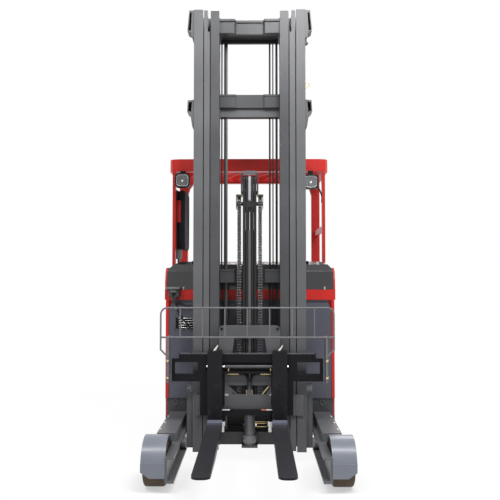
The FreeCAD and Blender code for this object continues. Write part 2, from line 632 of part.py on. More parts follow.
low_mass = profile_solid("outer_low_lug", "XZ",
                         [("outer_rail_out", "mast_height - 645"),
                          ("outer_rail_out + 44", "mast_height - 650"),
                          ("outer_rail_out + 49", "mast_height - 730"),
                          ("outer_rail_out + 26", "mast_height - 750"),
                          ("outer_rail_out + 12", "mast_height - 837"),
                          ("outer_rail_out", "mast_height - 837")],
                         "110", 0, lug_front, 0, back=True)
low_hollow = profile_solid("low_hollow", "XZ",
                           [("outer_rail_out + 14", "mast_height - 660"),
                            ("outer_rail_out + 38", "mast_height - 663"),
                            ("outer_rail_out + 42", "mast_height - 724"),
                            ("outer_rail_out + 20", "mast_height - 734")],
                           "90", 0, lug_front + " - 2", 0, back=True)
low_lug = cut("low_lug_solid", low_mass, low_hollow)
outer_parts += [lug, mirrored("outer_lug_left", lug), low_lug,
                mirrored("outer_low_lug_left", low_lug)]
keep(fuse("outer_mast_solid", *outer_parts), "outer_mast")

top_notch = box("top_notch", middle_out + " - middle_rail_width - 1", "mast_front - 1",
                "mast_height - 160", "middle_rail_width / 2 - web / 2 + 1",
                "flange + 2", "170")
middle_rail = cut("middle_rail_notched", middle_rail, top_notch)
middle_parts = [middle_rail, mirrored("middle_rail_left", middle_rail)]
middle_tie_y = "mast_front + middle_rail_depth - tie_thickness"
head_foot = "mast_height - head_drop"
for n, height in enumerate(("mast_foot + 20", "mast_height - mid_tie_drop", head_foot)):
    middle_parts.append(box("middle_tie_%d" % n, "-(" + middle_out + ")", middle_tie_y, height,
                            "2 * " + middle_out, "tie_thickness", "tie_height"))
barrel_y = tie_front + " + 24 + running_gap + lift_barrel_radius"
barrel_x = "outer_rail_out - outer_rail_width"
middle_in = "(" + middle_out + " - middle_rail_width)"
middle_parts.append(box("middle_shelf", "-" + middle_out, middle_tie_y, head_foot,
                        "2 * " + middle_out, barrel_y + " + 24 - (" + middle_tie_y + ")", "30"))
lug_y = tie_rear + " + clearance"
for side, start in (("a", middle_out), ("b", "-" + middle_out + " - rail_gap - 30")):
    middle_parts.append(box("middle_horn_" + side, start, lug_y, head_foot,
                            "rail_gap + 30", barrel_y + " + 24 - (" + lug_y + ")", "30"))
keep(fuse("middle_mast_solid", *middle_parts), "middle_mast")

inner_parts = [inner_rail, mirrored("inner_rail_left", inner_rail)]
inner_tie_y = "mast_front + inner_rail_depth - flange"
inner_bay = "2 * " + inner_out
inner_in = "(" + inner_out + " - inner_rail_width)"


def stepped(name, reach, recess, lip, height, tall):
    # Cross member seen from above: end blocks stand forward of a recessed middle
    body = new_body(name, 0, 0, height)
    end = inner_in + " + 2"
    front = inner_tie_y + " - " + reach + " - " + lip
    pad(body, outline(
        body, "XY",
        [("-(" + end + ")", inner_tie_y + " + flange"), ("-(" + end + ")", front),
         ("-head_block - 15", front), ("-head_block", front + " + " + recess),
         ("head_block", front + " + " + recess), ("head_block + 15", front),
         (end, front), (end, inner_tie_y + " + flange")]), tall)
    return body


for n, height in enumerate(("mast_foot + 20", "low_tie_bottom",
                            "mast_height - mid_tie_drop + 70")):
    inner_parts.append(box("inner_tie_%d" % n, "-" + inner_out, inner_tie_y, height,
                           inner_bay, "flange", "tie_height"))
    if n > 0:
        inner_parts.append(stepped("tie_blocks_%d" % n, "10", "10", "0", height + " - 6",
                                   "tie_height - 8"))
        inner_parts.append(stepped("tie_lip_%d" % n, "10", "13", "3", height + " + tie_height - 16",
                                   "16"))
inner_parts.append(stepped("head_block", "94", "head_recess", "0", head_foot, "head_height"))
inner_parts.append(stepped("head_lip", "94", "head_recess", "head_lip",
                           head_foot + " + head_height - 16", "16"))
inner_parts.append(box("head_tie", "-" + inner_out, inner_tie_y, head_foot, inner_bay,
                       "flange", "head_height"))
inner_parts.append(box("inner_seat", "-56", "column_place - 44", "mast_foot + 24", "112",
                       inner_tie_y + " - column_place + 44", "14"))
slide_pad = box("slide_pad", inner_out, "mast_front + 1", "mast_foot + 40",
                "rail_gap - roller_play", "flange - 2", "120")
inner_parts += [slide_pad, mirrored("slide_pad_left", slide_pad)]
keep(fuse("inner_mast_solid", *inner_parts), "inner_mast")

# Hoses and the inner stage's chain, clipped to the back of the middle mast's ties
line_y = "mast_front + middle_rail_depth"
line_foot = "mast_foot + 40"
line_top = head_foot + " - 2"
lines = [box("line_chain", "-189", line_y, line_foot, "27", "10", line_top + " - (" + line_foot + ")")]
for n, (x, radius) in enumerate((("-205", "5.5"), ("146", "6.5"), ("169", "4.5"), ("196", "8.5"))):
    lines.append(rod("line_%d" % n, "Z", x, line_y + " + " + radius, line_foot, radius,
                     line_top + " - (" + line_foot + ")"))
for n, height in enumerate(("mast_foot + 50", "mast_height - mid_tie_drop + 30",
                            head_foot + " - 30")):
    lines.append(box("line_clip_%d" % n, "-212", line_y, height, "420", "6", "30 - seat_gap"))
keep(fuse("mast_lines_solid", *lines), "mast_lines")

# Side lift cylinders
lift_barrel = rod("lift_barrel", "Z", barrel_x, barrel_y, "186", "lift_barrel_radius",
                  "mast_height - lift_barrel_drop - 186")
lift_bore = rod("lift_bore", "Z", barrel_x, barrel_y, "206", "lift_rod_radius + running_gap",
                "mast_height - lift_barrel_drop")
pair(cut("lift_barrel_solid", lift_barrel, lift_bore), "lift_cylinder")
pair(rod("lift_rod", "Z", barrel_x, barrel_y, "240", "lift_rod_radius",
         head_foot + " - 240"), "lift_rod")

# Free lift cylinder, its rod with the chain sheaves, chains and hoses
free_foot = "mast_foot + 38"
free_top = "sheave_height - free_head_gap"
free_barrel = rod("free_barrel", "Z", 0, "column_place", free_foot, "free_barrel_radius",
                  free_top + " - (" + free_foot + ")")
free_ring = rod("free_ring", "Z", 0, "column_place", free_foot + " + 20",
                "free_barrel_radius + 10", "50")
free_bore = rod("free_bore", "Z", 0, "column_place", free_foot + " + 20",
                "free_rod_radius + running_gap", free_top)
keep(cut("free_barrel_solid", fuse("free_barrel_mass", free_barrel, free_ring), free_bore),
     "free_lift_cylinder")
free_rod = rod("free_rod", "Z", 0, "column_place", "300", "free_rod_radius",
               "sheave_height - 300")
head_block = box("head_block", "-45", "column_place - 34", "sheave_height - 60", "90", "68",
                 "130")
head_axle = rod("head_axle", "X", "-chain_place - chain_width / 2 - clearance - 4",
                "column_place", "sheave_height", "14",
                "(chain_place + chain_width / 2 + clearance + 4) * 2")
cap_top = "sheave_height + 228"
cap_half = "62"
cap_body = new_body("hose_cap", 0, "column_place - 61", 0)
pad(cap_body, outline(
    cap_body, "XZ",
    [("-" + cap_half, "sheave_height + 66"), (cap_half, "sheave_height + 66"),
     (cap_half, cap_top + " - 22"), (cap_half + " - 22", cap_top),
     ("-" + cap_half + " + 22", cap_top), ("-" + cap_half, cap_top + " - 22")]),
    "95", back=True)
cap_hollow = box("cap_hollow", "-51", "column_place - 65", "sheave_height + 60", "102", "76",
                 cap_top + " - 16 - sheave_height - 60")
cap_window = box("cap_window", "-51", "column_place - 65", "sheave_height + 95", "102", "106",
                 cap_top + " - 16 - sheave_height - 95")
housing_in = "chain_place - chain_width / 2 - clearance - 4"
housing_wide = "chain_width + clearance * 2 + 8"
housing_low = "sheave_height - 36"
housing_top = "sheave_height + sheave_radius + chain_thickness / 2 + clearance"
housing_front = "column_place - sheave_radius - chain_thickness / 2 - clearance - 4"
housing_mass = box("housing_mass", housing_in, housing_front, housing_low, housing_wide,
                   "column_place + 51 - (" + housing_front + ")",
                   housing_top + " + 4 - (" + housing_low + ")")
housing_hollow = box("housing_hollow", housing_in + " - 2", housing_front + " - 2",
                     housing_low + " - 2", housing_wide + " - 2",
                     "column_place + 53 - (" + housing_front + ")",
                     housing_top + " - (" + housing_low + ") + 2")
housing = cut("sheave_housing", housing_mass, housing_hollow)
hose_guide = box("hose_guide", "-9", "column_place - 42", "sheave_height + 20", "18", "24", "175")
keep(fuse("free_rod_solid", free_rod, head_block, head_axle, housing, hose_guide,
          mirrored("sheave_housing_left", housing),
          cut("hose_cap_shell", cap_body, cap_hollow, cap_window)), "free_lift_rod")
sheave = rod("sheave", "X", "chain_place - chain_width / 2", "column_place", "sheave_height",
             "sheave_radius - chain_thickness / 2", "chain_width")
sheave_bore = rod("sheave_bore", "X", "chain_place - chain_width", "column_place",
                  "sheave_height", "14 + running_gap / 2", "chain_width * 2")
pair(cut("sheave_solid", sheave, sheave_bore), "chain_sheave")
chain_disc = rod("chain_disc", "X", "chain_place - chain_width / 2", "column_place",
                 "sheave_height", "sheave_radius + chain_thickness / 2", "chain_width")
chain_front = box("chain_front", "chain_place - chain_width / 2",
                  "column_place - sheave_radius - chain_thickness / 2", "450", "chain_width",
                  "chain_thickness", "sheave_height - 450")
chain_back = box("chain_back", "chain_place - chain_width / 2",
                 "column_place + sheave_radius - chain_thickness / 2", "1200", "chain_width",
                 "chain_thickness", "sheave_height - 1200")
chain_in = rod("chain_in", "X", "chain_place - chain_width", "column_place", "sheave_height",
               "sheave_radius - chain_thickness / 2", "chain_width * 2")
chain_low = box("chain_low", "chain_place - chain_width", "column_place - 100",
                "sheave_height - 200", "chain_width * 2", "200", "200")
chain_arc = cut("chain_arc", chain_disc, chain_in, chain_low)
pair(fuse("chain_solid", chain_arc, chain_front, chain_back), "lift_chain")
hoses = []
hose_y = "column_place - free_barrel_radius - hose_radius - 2"
for n, x in enumerate((-39, -19.2, 19.2, 39)):
    hoses.append(rod("hose_%d" % n, "Z", x, hose_y, "440", "hose_radius",
                     "sheave_height + 199 - 440"))
hose_bar = box("hose_bar", "-46", hose_y + " - 6", "sheave_height - 30",
               "92", "column_place - 34 - seat_gap - (" + hose_y + ") + 6", "40")
keep(fuse("hose_solid", hose_bar, *hoses), "mast_hoses")

# Lift bracket in the inner rails
bar_back = "shank_front + fork_thickness + running_gap + bar_thickness"
tilt_back = bar_back + " + frame_gap + 12"
bracket_front = tilt_back + " + tilt_gap"
bracket = new_body("bracket", 0, bracket_front, 0)
half = "bracket_width / 2"
bracket_top = 949
ear = 30
pad(bracket, outline(
    bracket, "XZ",
    [("-cross_half", "cross_bottom"), ("cross_half", "cross_bottom"),
     ("cross_half", "cross_top"), (half, "cross_top"),
     (half, bracket_top - ear), (half + " - 8", bracket_top - 8), (half + " - 30", bracket_top),
     ("-" + half + " + 30", bracket_top), ("-" + half + " + 8", bracket_top - 8),
     ("-" + half, bracket_top - ear), ("-" + half, "cross_top"),
     ("-cross_half", "cross_top")],
    [("-150", "560"), ("150", "560"), ("106", "858"), ("-106", "858")],
    [("-112", "cross_top"), ("-20", "cross_top"), ("-20", "534"), ("-150", "534")],
    [("20", "cross_top"), ("112", "cross_top"), ("150", "534"), ("20", "534")]),
    "bracket_thickness", back=True)
dome_radius = 46
dome_parts = []
for n, x in enumerate((53, 113)):
    dome_parts.append(rod("dome_%d" % n, "Y", x, bracket_front, "558", dome_radius, "bracket_thickness"))
dome_parts.append(box("dome_flat", 53, bracket_front, "550", "60", "bracket_thickness", "54"))
domes = fuse("domes", *dome_parts)
dome_base = box("dome_base", 0, bracket_front + " - 1", "400", "160", "bracket_thickness + 2", "134")
dome = cut("dome", domes, dome_base)
bracket_arm = box("bracket_arm", half + " - 30", bracket_front, "420", "24",
                  "column_place + 38 - (" + bracket_front + ")", "500")
pin_y = bar_back + " + frame_gap + 6"
pin_z = "fork_top + 410"
tilt_ear = cut("tilt_ear", box("ear_block", "204", pin_y + " - 12", pin_z + " - 20", "12",
                               bracket_front + " - (" + pin_y + ") + 12", "40"),
               rod("ear_bore", "X", "200", pin_y, pin_z, "tilt_pin_radius + running_gap / 20",
                   "20"))
bracket_parts = [bracket, bracket_arm, mirrored("bracket_arm_left", bracket_arm), tilt_ear,
                 mirrored("tilt_ear_left", tilt_ear), dome, mirrored("dome_left", dome)]
roller_y = "mast_front + inner_rail_depth / 2"
for n, height in enumerate((480, 860)):
    stub = rod("bracket_stub_%d" % n, "X", half + " - 20", roller_y, height, "22", "26")
    bracket_parts.append(stub)
    bracket_parts.append(mirrored("bracket_stub_left_%d" % n, stub))
keep(fuse("bracket_solid", *bracket_parts), "lift_bracket")
for n, height in enumerate((480, 860)):
    pair(rod("bracket_roller_%d" % n, "X", half + " + 6", roller_y, height,
             "inner_rail_depth / 2 - flange - roller_play", "40"), "mast_roller_%d" % (n + 1))

# Tilting plate and the side shift frame
fork_floor = "fork_top - fork_thickness"
upper_bar_top = "fork_top + 472"
shift_z = "fork_top + 378"
cylinder_y = bar_back + " + frame_gap - shift_barrel_radius - seat_gap"
tilt_plate = new_body("tilt_plate", 0, bar_back + " + frame_gap", 0)
pad(tilt_plate, outline(
    tilt_plate, "XZ",
    [("-200", "400"), ("-172", "400"), ("-172", "tilt_window_top"),
     ("150", "tilt_window_top"), ("150", "400"), ("200", "400"), ("200", "740"),
     ("-200", "740")]), "12", back=True)
tilt_pin = rod("tilt_pin", "X", "190", pin_y, pin_z, "tilt_pin_radius", "26")
keep(fuse("tilt_solid", tilt_plate, tilt_pin, mirrored("tilt_pin_left", tilt_pin)), "tilt_plate")
shift_barrel = rod("shift_barrel", "X", "-169", cylinder_y, shift_z, "shift_barrel_radius",
                   "323")
shift_bore = rod("shift_bore", "X", "-175", cylinder_y, shift_z, "shift_rod_radius + running_gap",
                 "340")
keep(cut("shift_cylinder_solid", shift_barrel, shift_bore), "side_shift_cylinder")
shift = new_body("shift", "shift_offset", "shank_front + fork_thickness + running_gap", 0)
bar_low = upper_bar_top + " - bar_spacing - 18"
pad(shift, outline(
    shift, "XZ",
    [("-325", bar_low), ("315", bar_low), ("315", "569"), ("520", "569"), ("520", "725"),
     ("bar_width / 2", "725"), ("bar_width / 2", upper_bar_top),
     ("-bar_width / 2", upper_bar_top), ("-bar_width / 2", "725"), ("-520", "725"),
     ("-520", "569"), ("-325", "569")],
    rectangle("-260", bar_low + " + bar_height", "260", "tilt_window_top"),
    rectangle("-285", shift_z + " - 32", "285", shift_z + " + 32"),
    rectangle("340", "620", "500", "700"), rectangle("-500", "620", "-340", "700")),
    "bar_thickness", back=True)
notch = pocket(shift, outline(shift, "XZ", rectangle("-bar_width / 2 + 60", upper_bar_top + " - 9",
                                                     "-bar_width / 2 + 76",
                                                     upper_bar_top + " + 5")),
               "bar_thickness / 2")
row = shift.newObject("PartDesign::LinearPattern", "notch_row")
row.Originals = [notch]
row.Direction = (notch.Profile[0], ["H_Axis"])
bind(row, Length="bar_width - 136")
row.Occurrences = 9
shift.Tip = row
shift_rod = rod("shift_rod", "X", "shift_offset - 290", cylinder_y, shift_z, "shift_rod_radius",
                "580")
shift_lug = box("shift_lug", "shift_offset + 285", cylinder_y + " - 9", shift_z + " - 20", "22",
                "12", "40")
shift_lug_left = box("shift_lug_left", "shift_offset - 307", cylinder_y + " - 9",
                     shift_z + " - 20", "22", "12", "40")
keep(fuse("shift_frame_solid", shift, shift_rod, shift_lug, shift_lug_left), "shift_frame")

# Load backrest of round rod
rest = "(backrest_width / 2 - rod_radius)"
rest_y = "shank_front - 15"
bar_top = "backrest_top - rod_radius"
loop_side = [
    rod("rest_side", "Z", rest, 0, "backrest_low - 3", "rod_radius",
        bar_top + " - backrest_bend - backrest_low + 3"),
    rod("rest_top", "X", 0, 0, bar_top, "rod_radius", rest + " - backrest_bend"),
    rod("rest_mid", "X", 0, 0, "backrest_mid", "rod_radius", rest),
]
bend = new_body("rest_bend", rest + " - backrest_bend", 0, bar_top + " - backrest_bend")
turned(bend, outline(bend, "XY", eight_sided("backrest_bend", "0", "rod_radius * 1.05")), angle=90,
       reverse=True)
slant = doc.addObject("Part::Cylinder", "rest_slant")
slant.Placement.Rotation = FreeCAD.Rotation(FreeCAD.Vector(0, 1, 0), -135)
bind(slant, Radius="rod_radius", Height="backrest_slant * 1.4142")
place(slant, rest, 0, "backrest_low")
flat = box("rest_flat", "backrest_flat - 8", "-6", "570", "16", "80", "310")
loop_side += [bend, slant, flat]
for n in range(4):
    loop_side.append(rod("rest_upright_%d" % n, "Z", "backrest_pitch * %d" % n, 0, "backrest_mid",
                         "rod_radius * 0.8", bar_top + " - backrest_mid"))
rest_half = fuse("rest_half", *loop_side)
rest_loop = fuse("rest_loop", rest_half, mirrored("rest_half_left", rest_half))
place(rest_loop, "shift_offset", rest_y, 0)
rest_parts = [rest_loop]
for n, start in enumerate(("shift_offset + 520", "shift_offset - 533")):
    rest_parts.append(box("rest_foot_%d" % n, start, "shank_front + fork_thickness + running_gap",
                          "580", "13", "bar_thickness", "36"))
keep(fuse("rest_solid", *rest_parts), "backrest")

# Forks
for side, sign in (("right", 1), ("left", -1)):
    centre = "shift_offset + fork_spacing / 2" if sign > 0 else "shift_offset - fork_spacing / 2"
    fork = new_body("fork_" + side, centre, 0, 0)
    tip = "shank_front - fork_length"
    pad(fork, outline(
        fork, "YZ",
        [("shank_front", "fork_top + heel_round"),
         ("shank_front - heel_round * 0.3", "fork_top + heel_round * 0.3"),
         ("shank_front - heel_round", "fork_top"), (tip, "fork_top"), (tip, "fork_top - fork_toe"),
         (tip + " + 420", fork_floor), ("shank_front + fork_thickness - 14", fork_floor),
         ("shank_front + fork_thickness", fork_floor + " + 14"),
         ("shank_front + fork_thickness", upper_bar_top + " + 2"),
         ("shank_front + fork_thickness + bar_thickness + 2", upper_bar_top + " + 2"),
         ("shank_front + fork_thickness + bar_thickness + 2", upper_bar_top + " + 20"),
         ("shank_front", upper_bar_top + " + 20")]), "fork_width", middle=True)
    tip_now = float(SIZES["shank_front"] - SIZES["fork_length"])
    half_fork = SIZES["fork_width"] / 2.0
    rounded = soften(fork, fork.Tip, "fork_width * 0.42", {"x": half_fork, "y": tip_now},
                     {"x": -half_fork, "y": tip_now})
    lever = doc.addObject("Part::Cone", "fork_lever_" + side)
    lever.Placement.Rotation = FreeCAD.Rotation(FreeCAD.Vector(0, 1, 0), 31)
    bind(lever, Radius1="11", Radius2="4", Height="50")
    place(lever, centre + " - 4", "shank_front + 20", upper_bar_top + " + 15")
    keep(fuse("fork_solid_" + side, fork, lever), "fork_" + side)

doc.recompute()
for thing in doc.Objects:
    if "Invalid" in thing.State or "Error" in thing.State:
        raise RuntimeError("not built: " + thing.Name)
for label, shape in PARTS:
    if shape.Shape.isNull() or not shape.Shape.isValid():
        raise RuntimeError("bad shape: " + label)
    shape.Shape.exportStep("parts/" + label + ".step")
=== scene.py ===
import math
import bpy
from mathutils import Matrix, Vector


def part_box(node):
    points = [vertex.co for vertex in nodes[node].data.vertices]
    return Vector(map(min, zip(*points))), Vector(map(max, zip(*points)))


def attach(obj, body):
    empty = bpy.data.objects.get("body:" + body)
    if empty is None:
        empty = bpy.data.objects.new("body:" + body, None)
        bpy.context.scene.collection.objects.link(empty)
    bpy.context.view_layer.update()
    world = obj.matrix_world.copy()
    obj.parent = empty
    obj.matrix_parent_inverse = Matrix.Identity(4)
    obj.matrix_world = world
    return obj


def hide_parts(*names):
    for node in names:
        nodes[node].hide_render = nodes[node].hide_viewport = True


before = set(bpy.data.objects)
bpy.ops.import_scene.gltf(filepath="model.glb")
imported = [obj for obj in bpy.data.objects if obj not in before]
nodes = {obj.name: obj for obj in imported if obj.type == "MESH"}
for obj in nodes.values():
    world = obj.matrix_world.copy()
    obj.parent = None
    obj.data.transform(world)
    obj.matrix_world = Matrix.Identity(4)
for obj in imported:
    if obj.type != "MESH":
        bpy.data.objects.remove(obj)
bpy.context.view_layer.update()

bpy.ops.object.select_all(action="DESELECT")

# Studio: a pale floor that fades into a white background, soft panels of light
# and the camera where the photograph was taken.
CAMERA_PLACE = (0.041, -4.295, 1.32)
CAMERA_LENS = 43.2
CAMERA_TILT = 2.1
CAMERA_TURN = 0.52
AMBIENT_LEVEL = 0.19
FLOOR_RADIUS = 9
FLOOR_WHITE_SHARE = 0.93
FLOOR_SHADE_SHARE = 0.42
FLOOR_FADE = (1.5, 3.2)
WHEEL_PLACE = (0.575, -0.53)
WHEEL_SHADE = (0.06, 0.32)


class Wire:
    """A socket that arithmetic can be written on."""

    def __init__(self, tree, source):
        self.tree = tree
        self.source = source

    def into(self, socket):
        self.tree.links.new(self.source, socket)

    def math(self, operation, *others):
        values = dict(enumerate((self,) + others))
        return make_node(self.tree, "Math", {"operation": operation}, values).out()

    def __add__(self, other):
        return self.math("ADD", other)

    __radd__ = __add__

    def __sub__(self, other):
        return self.math("SUBTRACT", other)

    def __rsub__(self, other):
        return (self * -1) + other

    def __mul__(self, other):
        return self.math("MULTIPLY", other)

    __rmul__ = __mul__

    def clamp(self, low=0.0, high=1.0):
        return self.math("MAXIMUM", low).math("MINIMUM", high)

    def step(self, low, high):
        values = {"Value": self, "From Min": low, "From Max": high}
        return make_node(self.tree, "MapRange", {"clamp": True}, values).out()

    def noise(self, scale, detail, roughness=0.5):
        values = {"Vector": self, "Scale": scale, "Detail": detail, "Roughness": roughness}
        return make_node(self.tree, "TexNoise", {}, values).out()

    def wave(self, direction, scale):
        kind = {"wave_type": "BANDS", "bands_direction": direction}
        return make_node(self.tree, "TexWave", kind, {"Vector": self, "Scale": scale}).out("Fac")


class Node:
    def __init__(self, tree, node):
        self.tree = tree
        self.node = node

    def out(self, name=0):
        return Wire(self.tree, self.node.outputs[name])


def make_node(tree, kind, settings=None, values=None):
    node = tree.nodes.new("ShaderNode" + kind)
    for name, value in (settings or {}).items():
        setattr(node, name, value)
    for name, value in (values or {}).items():
        if isinstance(value, Wire):
            value.into(node.inputs[name])
        else:
            node.inputs[name].default_value = value
    return Node(tree, node)


def empty_material(name):
    material = bpy.data.materials.new(name)
    material.use_nodes = True
    material.node_tree.nodes.clear()
    return material


def shows_background(tree):
    """One for the rays that see the white background, none for those that light the truck."""
    path = make_node(tree, "LightPath")
    rays = path.out("Is Camera Ray") + path.out("Is Glossy Ray") + path.out("Is Transmission Ray")
    return rays.clamp()


world = bpy.data.worlds.new("studio_world")
world.use_nodes = True
bpy.context.scene.world = world
world.node_tree.nodes.clear()
sky = world.node_tree
ambient = make_node(sky, "Background", {},
                    {"Color": (0.93, 0.96, 1, 1), "Strength": AMBIENT_LEVEL})
plain = make_node(sky, "Background", {}, {"Color": (1, 1, 1, 1), "Strength": 1.0})
both = make_node(sky, "MixShader", {},
                 {0: shows_background(sky), 1: ambient.out(), 2: plain.out()})
make_node(sky, "OutputWorld", {}, {"Surface": both.out()})

bpy.ops.mesh.primitive_circle_add(vertices=96, radius=FLOOR_RADIUS, fill_type="NGON",
                                  location=(0, 0, -0.001))
floor = bpy.context.object
floor.name = "studio_floor"
floor_finish = empty_material("studio_floor")
tree = floor_finish.node_tree
coords = make_node(tree, "TexCoord").out("Object")
away = make_node(tree, "VectorMath", {"operation": "LENGTH"}, {0: coords}).out("Value")
place = make_node(tree, "SeparateXYZ", {}, {0: coords})
beside = place.out("X").math("ABSOLUTE") - WHEEL_PLACE[0]
along = (place.out("Y") - WHEEL_PLACE[1]) * 0.6
near = 1 - (beside * beside + along * along).math("SQRT").step(*WHEEL_SHADE)
share = near * -FLOOR_SHADE_SHARE + FLOOR_WHITE_SHARE
fade = shows_background(tree) * away.step(*FLOOR_FADE).math("MAXIMUM", share)
matt = make_node(tree, "BsdfDiffuse", {}, {"Color": (0.9, 0.9, 0.91, 1)})
white = make_node(tree, "Emission", {}, {"Color": (1, 1, 1, 1), "Strength": 1.0})
mixed = make_node(tree, "MixShader", {}, {0: fade, 1: matt.out(), 2: white.out()})
make_node(tree, "OutputMaterial", {}, {"Surface": mixed.out()})
floor.data.materials.append(floor_finish)

for name, place, size, energy, aim_height in (
        ("top_left_panel", (-2.2, -2.7, 5.7), 2.2, 168, 2.0),
        ("top_right_panel", (2.4, -2.6, 5.5), 2.2, 166, 2.0),
        ("mast_panel", (0.6, -2.3, 4.5), 1.2, 82, 2.7),
        ("right_side_panel", (5.0, 0.6, 2.6), 3.0, 80, 1.5),
        ("left_side_panel", (-5.0, 0.9, 2.8), 3.0, 75, 1.3),
        ("rear_panel", (0.5, 4.5, 4.4), 3.4, 140, 1.5)):
    bpy.ops.object.light_add(type="AREA", location=place)
    lamp = bpy.context.object
    lamp.name = name
    lamp.data.shape = "DISK"
    lamp.data.size = size
    lamp.data.energy = energy
    aim = Vector((0, 0, aim_height)) - Vector(place)
    lamp.rotation_euler = aim.to_track_quat("-Z", "Y").to_euler()

bpy.ops.object.camera_add(location=CAMERA_PLACE)
camera = bpy.context.object
camera.rotation_euler = (math.radians(90 + CAMERA_TILT), 0, math.radians(CAMERA_TURN))
camera.data.lens = CAMERA_LENS
bpy.context.scene.camera = camera
bpy.context.scene.view_settings.view_transform = "Standard"

# Mast stages: rolled steel rails in satin dark grey, a little paler where the
# paint thins on edges, with an eye and a stop screwed to the right-hand rail.
MAST_GREY = (0.095, 0.096, 0.101)
MAST_EDGE = (0.17, 0.172, 0.178)


def blend_colours(factor, first, second):
    """Second colour over the first, as far as the factor says."""
    mix = make_node(factor.tree, "Mix", {"data_type": "RGBA"}, {0: factor})
    for index, value in ((6, first), (7, second)):
        if isinstance(value, Wire):
            value.into(mix.node.inputs[index])
        else:
            mix.node.inputs[index].default_value = (*value, 1.0)
    return mix.out(2)


def surface(name, colour, roughness, edge=None, edge_share=0.6, metal=0.0, coat=0.0,
            grain=180.0, depth=0.0006, mottle=0.10, scuff=None, round_edge=0.0025, shine=0.4,
            dust=None):
    """Painted or bare finish with cloudy colour, a fine grain, worn edges, rubbed patches and dust."""
    material = empty_material(name)
    tree = material.node_tree
    coords = make_node(tree, "TexCoord").out("Object")
    cloud = coords.noise(3.1, 3.0, 0.6)
    fine = coords.noise(grain, 2.0)
    darker = tuple(c * (1 - mottle) for c in colour)
    lighter = tuple(c * (1 + mottle) for c in colour)
    paint = blend_colours(cloud.step(0.32, 0.68), darker, lighter)
    rough = (cloud - 0.5) * 0.12 + (fine - 0.5) * 0.06 + roughness
    soft = make_node(tree, "Bevel", {"samples": 4}, {"Radius": round_edge})
    if edge:
        flat = make_node(tree, "NewGeometry").out("Normal")
        facing = make_node(tree, "VectorMath", {"operation": "DOT_PRODUCT"},
                           {0: soft.out(), 1: flat}).out("Value")
        worn = ((1 - facing) * 3.0).clamp() * fine.step(0.35, 0.6) * edge_share
        paint = blend_colours(worn, paint, edge)
    if scuff or dust:
        patches = coords.noise(14.0, 6.0, 0.75)
    if scuff:
        tone, low, high = scuff
        toned = patches.step(low, high)
        paint = blend_colours(toned, paint, tone)
        rough = rough - toned * 0.1
    if dust:
        tone, top, share = dust
        height = make_node(tree, "SeparateXYZ", {}, {0: coords}).out("Z")
        settled = (1 - height.step(0.0, top)) * patches.step(0.35, 0.7) * share
        paint = blend_colours(settled, paint, tone)
        rough = rough + settled * 0.3
    bump = make_node(tree, "Bump", {}, {
        "Strength": 0.35, "Distance": depth, "Height": fine, "Normal": soft.out()})
    shader = make_node(tree, "BsdfPrincipled", {}, {
        "Base Color": paint, "Roughness": rough.clamp(0.03, 1.0), "Metallic": metal,
        "Coat Weight": coat, "Coat Roughness": 0.12, "Specular IOR Level": shine,
        "Normal": bump.out()})
    make_node(tree, "OutputMaterial", {}, {"Surface": shader.out()})
    return material


def dress(material, *names):
    for name in names:
        slots = nodes[name].data.materials
        if slots:
            slots[0] = material
        else:
            slots.append(material)


def pick(piece):
    """Makes a piece the active one, and the only one selected."""
    bpy.ops.object.select_all(action="DESELECT")
    piece.select_set(True)
    bpy.context.view_layer.objects.active = piece


def put_down(piece):
    """Moves a piece's place and turn into its mesh."""
    pick(piece)
    bpy.ops.object.transform_apply(location=True, rotation=True, scale=True)
    return piece


def bar(start, end, radius, end_radius=None, sides=20):
    """Round or many-sided bar, straight or tapered, from start to end."""
    start, end = Vector(start), Vector(end)
    bpy.ops.mesh.primitive_cone_add(
        vertices=sides, radius1=radius, radius2=radius if end_radius is None else end_radius,
        depth=(end - start).length, location=(start + end) / 2,
        rotation=(end - start).to_track_quat("Z", "Y").to_euler())
    return put_down(bpy.context.object)


def ring(centre, axis, radius, thickness, around=32, sides=10):
    bpy.ops.mesh.primitive_torus_add(
        location=centre, rotation=Vector(axis).to_track_quat("Z", "Y").to_euler(),
        major_radius=radius, minor_radius=thickness, major_segments=around, minor_segments=sides)
    return put_down(bpy.context.object)


def joined(pieces):
    pick(pieces[0])
    for piece in pieces[1:]:
        piece.select_set(True)
    if len(pieces) > 1:
        bpy.ops.object.join()
    return bpy.context.object


def copy_of(piece, move=(0, 0, 0), turn=None):
    twin = piece.copy()
    twin.data = piece.data.copy()
    bpy.context.collection.objects.link(twin)
    twin.matrix_world = Matrix.Translation(move) @ (turn or Matrix.Identity(4))
    return put_down(twin)


def settle(piece, name, material, body, edge=0.0015, segments=2, smooth=40):
    """Rounds a finished piece's edges, gives it its finish and lets it ride on its body."""
    piece.name = name
    put_down(piece)
    if edge:
        rounding = piece.modifiers.new("rounded_edges", "BEVEL")
        rounding.width = edge
        rounding.segments = segments
        rounding.limit_method = "ANGLE"
        rounding.angle_limit = math.radians(42)
        bpy.ops.object.modifier_apply(modifier=rounding.name)
    bpy.ops.object.shade_smooth_by_angle(angle=math.radians(smooth))
    piece.data.materials.clear()
    piece.data.materials.append(material)
    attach(piece, body)
    return piece


def copies(model, places, turn=None):
    """Copies of a finished model, one at each place, joined in one piece."""
    row = joined([copy_of(model, place, turn) for place in places])
    bpy.data.objects.remove(model)
    return row


def bolts(name, places, axis, size, material, body):
    """Hexagon heads on washers, along axis from each place."""
    axis = Vector(axis)
    head = joined([bar(-axis * size * 0.1, axis * size * 0.25, size * 0.95, sides=16),
                   bar((0, 0, 0), axis * size * 0.85, size * 0.72, sides=6)])
    return settle(copies(head, places), name, material, body, size * 0.06, 1, 30)


